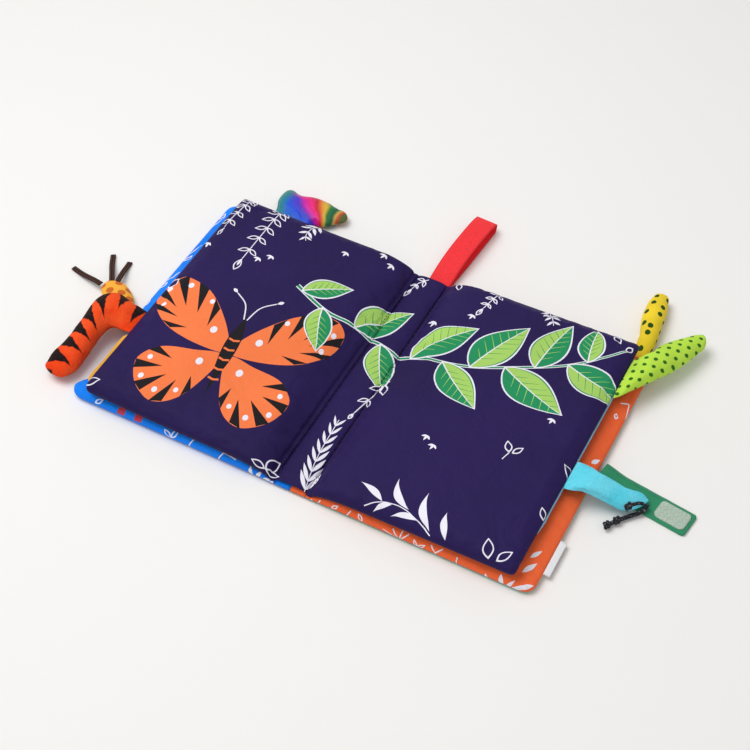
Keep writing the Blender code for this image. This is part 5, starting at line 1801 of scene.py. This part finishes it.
class CLOTHBOOK_OT_spine(bpy.types.Operator):
    """Adds the stitched strips of the spine"""
    bl_idname = "clothbook.spine"
    bl_label = "Spine"

    def execute(self, context):
        lining = SPINE_LIFT + LAYER
        backing = lining + LAYER
        face = backing + LAYER
        gather = sizes().gather_height
        reach = SEAM_X - GAP / 2

        def face_top(x, y):
            hold = min(1.0, (SEAM_X - abs(x)) / 0.004)
            wave = 1.3 * ripple(y * 70.0, x * 60.0, 3.0) + 0.5 * ripple(y * 210.0, x * 90.0, 8.0)
            crown = SPINE_CROWN * (1.0 - abs(x / SEAM_X) ** 3)
            return face + CLOTH + crown + gather * wave * hold

        def lining_top(x, y):
            near = max(0.0, (abs(y) - 0.0980) / 0.0041)
            return lining + CLOTH + (-0.0016 * near * near + 0.0004 * ripple(y * 90.0, 4.0))

        def outer_top(x, y):
            sag = SPINE_LIFT * within((SEAM_X - abs(x)) / (SEAM_X - FOOT_WIDTH / 2))
            return SPINE_LIFT + CLOTH - sag

        navy = printed("navy_cloth_print", *PAGE_INKS)
        blue, orange, gold, green = [
            {"ground": plain(name)} for name in
            ("blue_lining_cloth", "orange_lining_cloth", "gold_backing", "green_outer_cloth")]
        strips = (
            ("spine_printed_face", -reach, reach, PAGE_HEIGHT / 2, face_top, page_print(), navy,
             ("spine_face_cloth", "spine_wadding"), "navy_cloth"),
            ("spine_gold_backing", -reach, reach, PAGE_HEIGHT / 2 - 0.002,
             lambda x, y: backing + CLOTH, [], gold, ("spine_backing_cloth",), "gold_cloth"),
            ("spine_blue_strip", -reach, -GAP / 2, COVER_HEIGHT / 2, lining_top, [], blue,
             ("spine_blue_lining",), "blue_cloth"),
            ("spine_orange_strip", GAP / 2, reach, COVER_HEIGHT / 2, lining_top, [], orange,
             ("spine_orange_lining",), "orange_cloth"),
            ("spine_green_outside", -reach, reach, COVER_HEIGHT / 2 - 0.0012, outer_top, [],
             green, ("spine_outer_cloth",), "green_cloth"),
        )
        for name, start, end, half, height, shapes, stuffs, nodes, slot in strips:
            pitch = 0.0015 if shapes else 0.0024
            columns = max(2, int((end - start) / pitch))
            rows = int(2 * half / pitch)
            inner = [(between(start, end, i / columns), -half + 2 * half * k / rows)
                     for i in range(1, columns) for k in range(1, rows)]
            outline = [(start, -half), (end, -half), (end, half), (start, half)]
            made = laid_cloth(name, outline, inner, shapes,
                              lambda x, y, height=height: Vector((x, y, height(x, y))),
                              stuffs, pitch)
            fitted(made, "spine", slot, *nodes)
        return {"FINISHED"}


class CLOTHBOOK_OT_tails(bpy.types.Operator):
    """Adds the six stuffed tails"""
    bl_idname = "clothbook.tails"
    bl_label = "Stuffed tails"

    def execute(self, context):
        look = colours()
        lime = dotted_cloth("lime_dotted_pile", tuple(look.lime), shade(46, 108, 24), True)
        yellow = dotted_cloth("yellow_dotted_pile", tuple(look.yellow), shade(40, 76, 20), False)
        stuffs = {
            "striped_tail": (kept("striped_plush_pile", plush_striped), "striped_plush", 0.0006),
            "tufted_tail": (kept("spotted_cloth_pile", spotted_cloth), "spotted_cloth", 0.0003),
            "rainbow_tail": (kept("rainbow_satin_cloth", rainbow_satin), "rainbow_satin", 0.0008),
            "lime_tail": (lime, "lime_dotted_cloth", 0.0006),
            "yellow_tail": (yellow, "yellow_dotted_cloth", 0.0005),
            "blue_tail": (kept("blue_fleece_pile", fleece), "blue_fleece", 0.0006),
        }
        for number, (name, form) in enumerate(tail_forms().items()):
            stuff, slot, lump = stuffs[name]
            made = form.build(name + "_sewn", stuff, lump=lump, seed=float(number) * 7.3)
            fitted(made, name, slot, name + "_cloth", name + "_stuffing")
        return {"FINISHED"}


STRAP_WIDTH, STRAP_LENGTH, STRAP_THICKNESS, STRAP_DROP = 0.0182, 0.065, 0.0015, 0.016
STRAP_RIM = 0.0022
STRAP_LOW = 0.0005 + STRAP_THICKNESS / 2
STRAP_AHEAD = compass(-8.5)
STRAP_ASIDE = Vector((-STRAP_AHEAD.y, STRAP_AHEAD.x, 0.0))
STRAP_ROOT = Vector((COVER_EDGE_X + SEW_GAP + STRAP_WIDTH / 2 * abs(STRAP_AHEAD.y), 0.0005, 0.0))
HOOK_LENGTH, HOOK_WIDTH, HOOK_THICKNESS = 0.0210, 0.0140, 0.0009
HOOK_START = STRAP_LENGTH - STRAP_RIM - HOOK_LENGTH
HOOK_BASE = STRAP_LOW + STRAP_THICKNESS / 2 - 0.0001
SOFT_LENGTH, SOFT_WIDTH = 0.030, 0.016
SOFT_ROOT = Vector((-SEAM_X - (COVER_WIDTH - 0.013 - SOFT_LENGTH), 0.0, 0.0))
LABEL_REACH, LABEL_LENGTH, LABEL_MIDDLE = 0.0042, 0.027, -0.0715


def strap_spot(along, across, height):
    """A place over the strap's lie, which falls from the cover's edge to the floor."""
    return STRAP_ROOT + STRAP_AHEAD * along + STRAP_ASIDE * across + UP * height


def strap_level(along):
    """Height of the strap's middle."""
    fall = (1.0 + math.cos(math.pi * within(along / STRAP_DROP))) / 2
    return between(STRAP_LOW, COVER_MID_Z, fall)


class CLOTHBOOK_OT_strap(bpy.types.Operator):
    """Adds the closing strap with its fastener, the soft patch and the blank label"""
    bl_idname = "clothbook.strap"
    bl_label = "Strap and label"

    def execute(self, context):
        def strap_top(a, b):
            rim = min(STRAP_WIDTH / 2 - abs(b), STRAP_LENGTH - a)
            puff = STRAP_THICKNESS / 2 * (0.62 + 0.38 * ease(rim, STRAP_RIM))
            groove = 0.0003 * math.exp(-((rim - 0.0026) / 0.0006) ** 2)
            wave = 0.00018 * ripple(a * 150.0, b * 150.0, 2.0)
            return strap_spot(a, b, strap_level(a) + puff - groove + wave)

        def strap_foot(a, b):
            return strap_spot(a, b, strap_level(a) - STRAP_THICKNESS / 2)

        def patch_top(a, b):
            rim = min(a, HOOK_LENGTH - a, HOOK_WIDTH / 2 - abs(b))
            full = 0.45 + 0.55 * ease(rim, 0.0012)
            return strap_spot(HOOK_START + a, b, HOOK_BASE + HOOK_THICKNESS * full)

        def patch_foot(a, b):
            return strap_spot(HOOK_START + a, b, HOOK_BASE)

        def soft_spot(a, b, height):
            return SOFT_ROOT - Vector((a, b, 0.0)) + UP * height

        field = kept("touch_fastener_field", hooked)
        made = slab("closing_strap_cloth", rounded(STRAP_LENGTH, STRAP_WIDTH, STRAP_RIM), 0.0011,
                    strap_top, strap_foot, plain("strap_cloth"))
        fitted(made, "closing_strap", "strap_webbing", "closing_strap")
        made = slab("hook_patch_field", rounded(HOOK_LENGTH, HOOK_WIDTH, 0.0034, True), 0.0010,
                    patch_top, patch_foot, field)
        fitted(made, "closing_strap", "touch_fastener", "hook_patch")
        made = slab("soft_patch_field", rounded(SOFT_LENGTH, SOFT_WIDTH, 0.003, True), 0.0012,
                    lambda a, b: soft_spot(a, b, CLOTH * 1.5),
                    lambda a, b: soft_spot(a, b, 0.00002), field)
        fitted(made, "front_cover", "touch_fastener", "loop_patch")
        line = [Vector((COVER_EDGE_X + SEW_GAP / 2 + LABEL_REACH * share, LABEL_MIDDLE,
                        COVER_MID_Z - 0.0006 * share * share))
                for share in [step / 12 for step in range(13)]]
        made = flat_band("blank_label_tape", line, [Vector((0.0, -1.0, 0.0))] * len(line),
                         lambda share: LABEL_LENGTH / 2, 2 * CLOTH, plain("white_tape_satin"),
                         columns=16)
        fitted(made, "back_cover", "white_tape", "blank_label")
        return {"FINISHED"}


def rounded(length, width, corner, both=False):
    """A flat band's outline with rounded corners at its end, or at both ends."""
    half, far = width / 2, length - corner

    def arc(centre_x, sign, first):
        turns = [first + math.pi / 2 * step / 6 for step in range(7)]
        return [(centre_x + corner * math.cos(turn),
                 sign * (half - corner) + corner * math.sin(turn)) for turn in turns]

    start = arc(corner, -1, math.pi) if both else [(0.0, -half)]
    end = arc(corner, 1, math.pi / 2) if both else [(0.0, half)]
    return start + arc(far, -1, -math.pi / 2) + arc(far, 1, 0.0) + end


def slab(name, outline, pitch, top, foot, stuff):
    """A closed slab between two surfaces over a flat outline."""
    ring = divided(outline, pitch)
    coords = [Vector((x / MM, y / MM)) for x, y in ring]
    edges = [(k, (k + 1) % len(ring)) for k in range(len(ring))]
    lows = [min(p[axis] for p in ring) for axis in (0, 1)]
    highs = [max(p[axis] for p in ring) for axis in (0, 1)]
    grid = []
    for i in range(1, int((highs[0] - lows[0]) / pitch)):
        for k in range(1, int((highs[1] - lows[1]) / pitch)):
            grid.append((lows[0] + pitch * i, lows[1] + pitch * k))
    near = inside(np.array(grid), ring)
    coords += [Vector((x / MM, y / MM)) for (x, y), hit in zip(grid, near) if hit]
    verts, _, faces = geometry.delaunay_2d_cdt(coords, edges, [], 0, 1e-4, False)[:3]
    flat = [(v.x * MM, v.y * MM) for v in verts]
    form = bmesh.new()
    tops = [form.verts.new(top(*point)) for point in flat]
    feet = [form.verts.new(foot(*point)) for point in flat]
    centres = np.array([[sum(flat[k][axis] for k in face) / 3 for axis in (0, 1)]
                        for face in faces])
    keep = inside(centres, ring)
    sides = {}
    for face, hit in zip(faces, keep):
        if hit:
            form.faces.new([tops[k] for k in face]).smooth = True
            form.faces.new([feet[k] for k in reversed(face)]).smooth = True
            for a, b in zip(face, (*face[1:], face[0])):
                key = (min(a, b), max(a, b))
                sides[key] = sides.get(key, 0) + 1
    for (a, b), count in sides.items():
        if count == 1:
            form.faces.new((tops[a], tops[b], feet[b], feet[a])).smooth = True
    loose = [v for v in form.verts if not v.link_faces]
    bmesh.ops.delete(form, geom=loose, context="VERTS")
    return closed(name, form, stuff)


RIBBON_SHARES = ((0.0, 0.0), (0.10, 0.34), (0.24, 0.72), (0.42, 0.95), (0.60, 1.0),
                 (0.78, 0.96), (0.91, 0.84), (0.975, 0.66), (1.0, 0.5))


class CLOTHBOOK_OT_ribbon(bpy.types.Operator):
    """Adds the ribbon loop at the head of the spine"""
    bl_idname = "clothbook.ribbon"
    bl_label = "Ribbon loop"

    def execute(self, context):
        width, thickness, reach, top = 0.0165, 0.0006, 0.069, 0.0104
        ahead = compass(86.2)
        aside = Vector((ahead.y, -ahead.x, 0.0))
        slant = width / 2 * abs(ahead.x)
        root = Vector((0.0042, HEAD_Y + SEW_GAP + slant, 0.0))
        low, high = GAP + thickness / 2, top - thickness / 2
        under, over = [], []
        for run, opened in RIBBON_SHARES:
            place = root + ahead * reach * run
            if run < 1.0:
                under.append(place + UP * between(HINGE_Z / 2 - 0.0005, low, opened))
            over.append(place + UP * between(HINGE_Z / 2 + 0.0005, high, opened))
        points = [tuple(p) for p in under + list(reversed(over))]
        line = [Vector(p) for p in smooth_line(points, 6)]
        made = flat_band("ribbon_loop_band", line, [aside] * len(line),
                         lambda share: width / 2, thickness,
                         kept("red_grosgrain", grosgrain), columns=10)
        fitted(made, "ribbon_loop", "red_ribbon", "ribbon_loop")
        return {"FINISHED"}


def stitch_tree():
    """Geometry nodes that lay stitches along a line."""
    tree = bpy.data.node_groups.new("stitch_row", "GeometryNodeTree")
    face = tree.interface
    face.new_socket("Geometry", in_out="INPUT", socket_type="NodeSocketGeometry")
    for label in ("Pitch", "Length", "Width"):
        face.new_socket(label, in_out="INPUT", socket_type="NodeSocketFloat")
    face.new_socket("Thread", in_out="INPUT", socket_type="NodeSocketMaterial")
    face.new_socket("Geometry", in_out="OUTPUT", socket_type="NodeSocketGeometry")
    made = Nodes(tree)
    given = made.node("NodeGroupInput").outputs
    curve = made.node("GeometryNodeMeshToCurve", None, {"Mesh": given["Geometry"]})
    spots = made.node("GeometryNodeResampleCurve", {"mode": "LENGTH"},
                      {"Curve": curve.outputs["Curve"], "Length": given["Pitch"]})
    tangent = made.node("GeometryNodeInputTangent")
    align = made.node("FunctionNodeAlignRotationToVector", {"axis": "X"},
                      {"Vector": tangent.outputs["Tangent"]})
    ball = made.node("GeometryNodeMeshUVSphere", None, {"Segments": 8, "Rings": 6, "Radius": 0.5})
    scale = made.node("ShaderNodeCombineXYZ", None,
                      {"X": given["Length"], "Y": given["Width"], "Z": given["Width"]})
    shape = made.node("GeometryNodeTransform", None,
                      {"Geometry": ball.outputs["Mesh"], "Scale": scale.outputs["Vector"]})
    last = made.node("GeometryNodeInstanceOnPoints", None,
                     {"Points": spots.outputs["Curve"], "Instance": shape.outputs["Geometry"],
                      "Rotation": align.outputs["Rotation"]}).outputs["Instances"]
    for kind in ("GeometryNodeRealizeInstances", "GeometryNodeSetShadeSmooth"):
        last = made.node(kind, None, {"Geometry": last}).outputs["Geometry"]
    dress = made.node("GeometryNodeSetMaterial", None,
                      {"Geometry": last, "Material": given["Thread"]})
    made.node("NodeGroupOutput", None, {"Geometry": dress.outputs["Geometry"]})
    return tree


def stitch_row(tree, name, line, stuff, body, slot):
    """Stitches along a line on one body, as a plain mesh."""
    base = bpy.data.meshes.new(name + "_line")
    base.from_pydata([tuple(point) for point in line],
                     [(k, k + 1) for k in range(len(line) - 1)], [])
    holder = linked(name + "_line", base)
    sewn = holder.modifiers.new("Stitches", "NODES")
    sewn.node_group = tree
    values = {"Pitch": sizes().stitch_pitch, "Length": sizes().stitch_length,
              "Width": sizes().stitch_width, "Thread": stuff}
    for item in tree.interface.items_tree:
        if item.in_out == "INPUT" and item.name in values:
            sewn[item.identifier] = values[item.name]
    seen = holder.evaluated_get(bpy.context.evaluated_depsgraph_get())
    mesh = bpy.data.meshes.new_from_object(seen)
    mesh.name = name
    bpy.data.objects.remove(holder, do_unlink=True)
    fitted(linked(name, mesh), body, slot)


class CLOTHBOOK_OT_stitches(bpy.types.Operator):
    """Adds the rows of stitches along seams and edges"""
    bl_idname = "clothbook.stitches"
    bl_label = "Stitches"

    def execute(self, context):
        tree = stitch_tree()
        look = colours()
        dark = thread("navy_thread", shade(26, 18, 50))
        green = thread("green_thread", tinted(tuple(look.strap), 0.8))
        pale = thread("pale_thread", tinted(tuple(look.hook), 1.1))
        end, seam_x = PAGE_HEIGHT / 2 - 0.002, SEAM_X + 0.0014
        for name in ("left_page", "right_page"):
            form = leaf_forms()[name]
            line = [form.upper(form.side * seam_x, between(-end, end, step / 120)) + UP * 0.00005
                    for step in range(121)]
            stitch_row(tree, name + "_hinge_stitches", line, dark, name, "navy_cloth")
        edge = rounded(STRAP_LENGTH - 0.0024, STRAP_WIDTH - 0.0048, 0.004)
        line = [strap_spot(a + 0.0004, b, strap_level(a) + 0.00052)
                for a, b in divided(edge, 0.0015)[:-1]]
        stitch_row(tree, "strap_edge_stitches", line, green, "closing_strap", "strap_webbing")
        edge = rounded(HOOK_LENGTH - 0.0024, HOOK_WIDTH - 0.0024, 0.0026, True)
        line = [strap_spot(HOOK_START + 0.0012 + a, b, HOOK_BASE + 0.0008)
                for a, b in divided(edge, 0.0012)]
        stitch_row(tree, "patch_edge_stitches", line + line[:1], pale, "closing_strap",
                   "touch_fastener")
        return {"FINISHED"}


class CLOTHBOOK_PT_panel(bpy.types.Panel):
    """Lists the book's pieces and its sizes and colours"""
    bl_idname = "CLOTHBOOK_PT_panel"
    bl_label = "Cloth book"
    bl_space_type = "VIEW_3D"
    bl_region_type = "UI"
    bl_category = "Cloth book"

    def draw(self, context):
        for maker in MAKERS:
            self.layout.operator(maker.bl_idname)
        for group in (context.scene.cloth_book_sizes, context.scene.cloth_book_colours):
            for key in group.__annotations__:
                self.layout.prop(group, key)


MAKERS = (CLOTHBOOK_OT_stage, CLOTHBOOK_OT_cords, CLOTHBOOK_OT_leaves, CLOTHBOOK_OT_spine,
          CLOTHBOOK_OT_tails, CLOTHBOOK_OT_strap, CLOTHBOOK_OT_ribbon, CLOTHBOOK_OT_stitches)
CLASSES = (ClothBookSizes, ClothBookColours, *MAKERS, CLOTHBOOK_PT_panel)


def register():
    for kind in CLASSES:
        bpy.utils.register_class(kind)
    bpy.types.Scene.cloth_book_sizes = PointerProperty(type=ClothBookSizes)
    bpy.types.Scene.cloth_book_colours = PointerProperty(type=ClothBookColours)


def unregister():
    del bpy.types.Scene.cloth_book_colours
    del bpy.types.Scene.cloth_book_sizes
    for kind in reversed(CLASSES):
        bpy.utils.unregister_class(kind)


def main():
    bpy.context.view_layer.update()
    register()
    for maker in MAKERS:
        group, name = maker.bl_idname.split(".")
        getattr(getattr(bpy.ops, group), name)()


if __name__ == "__main__":
    main()
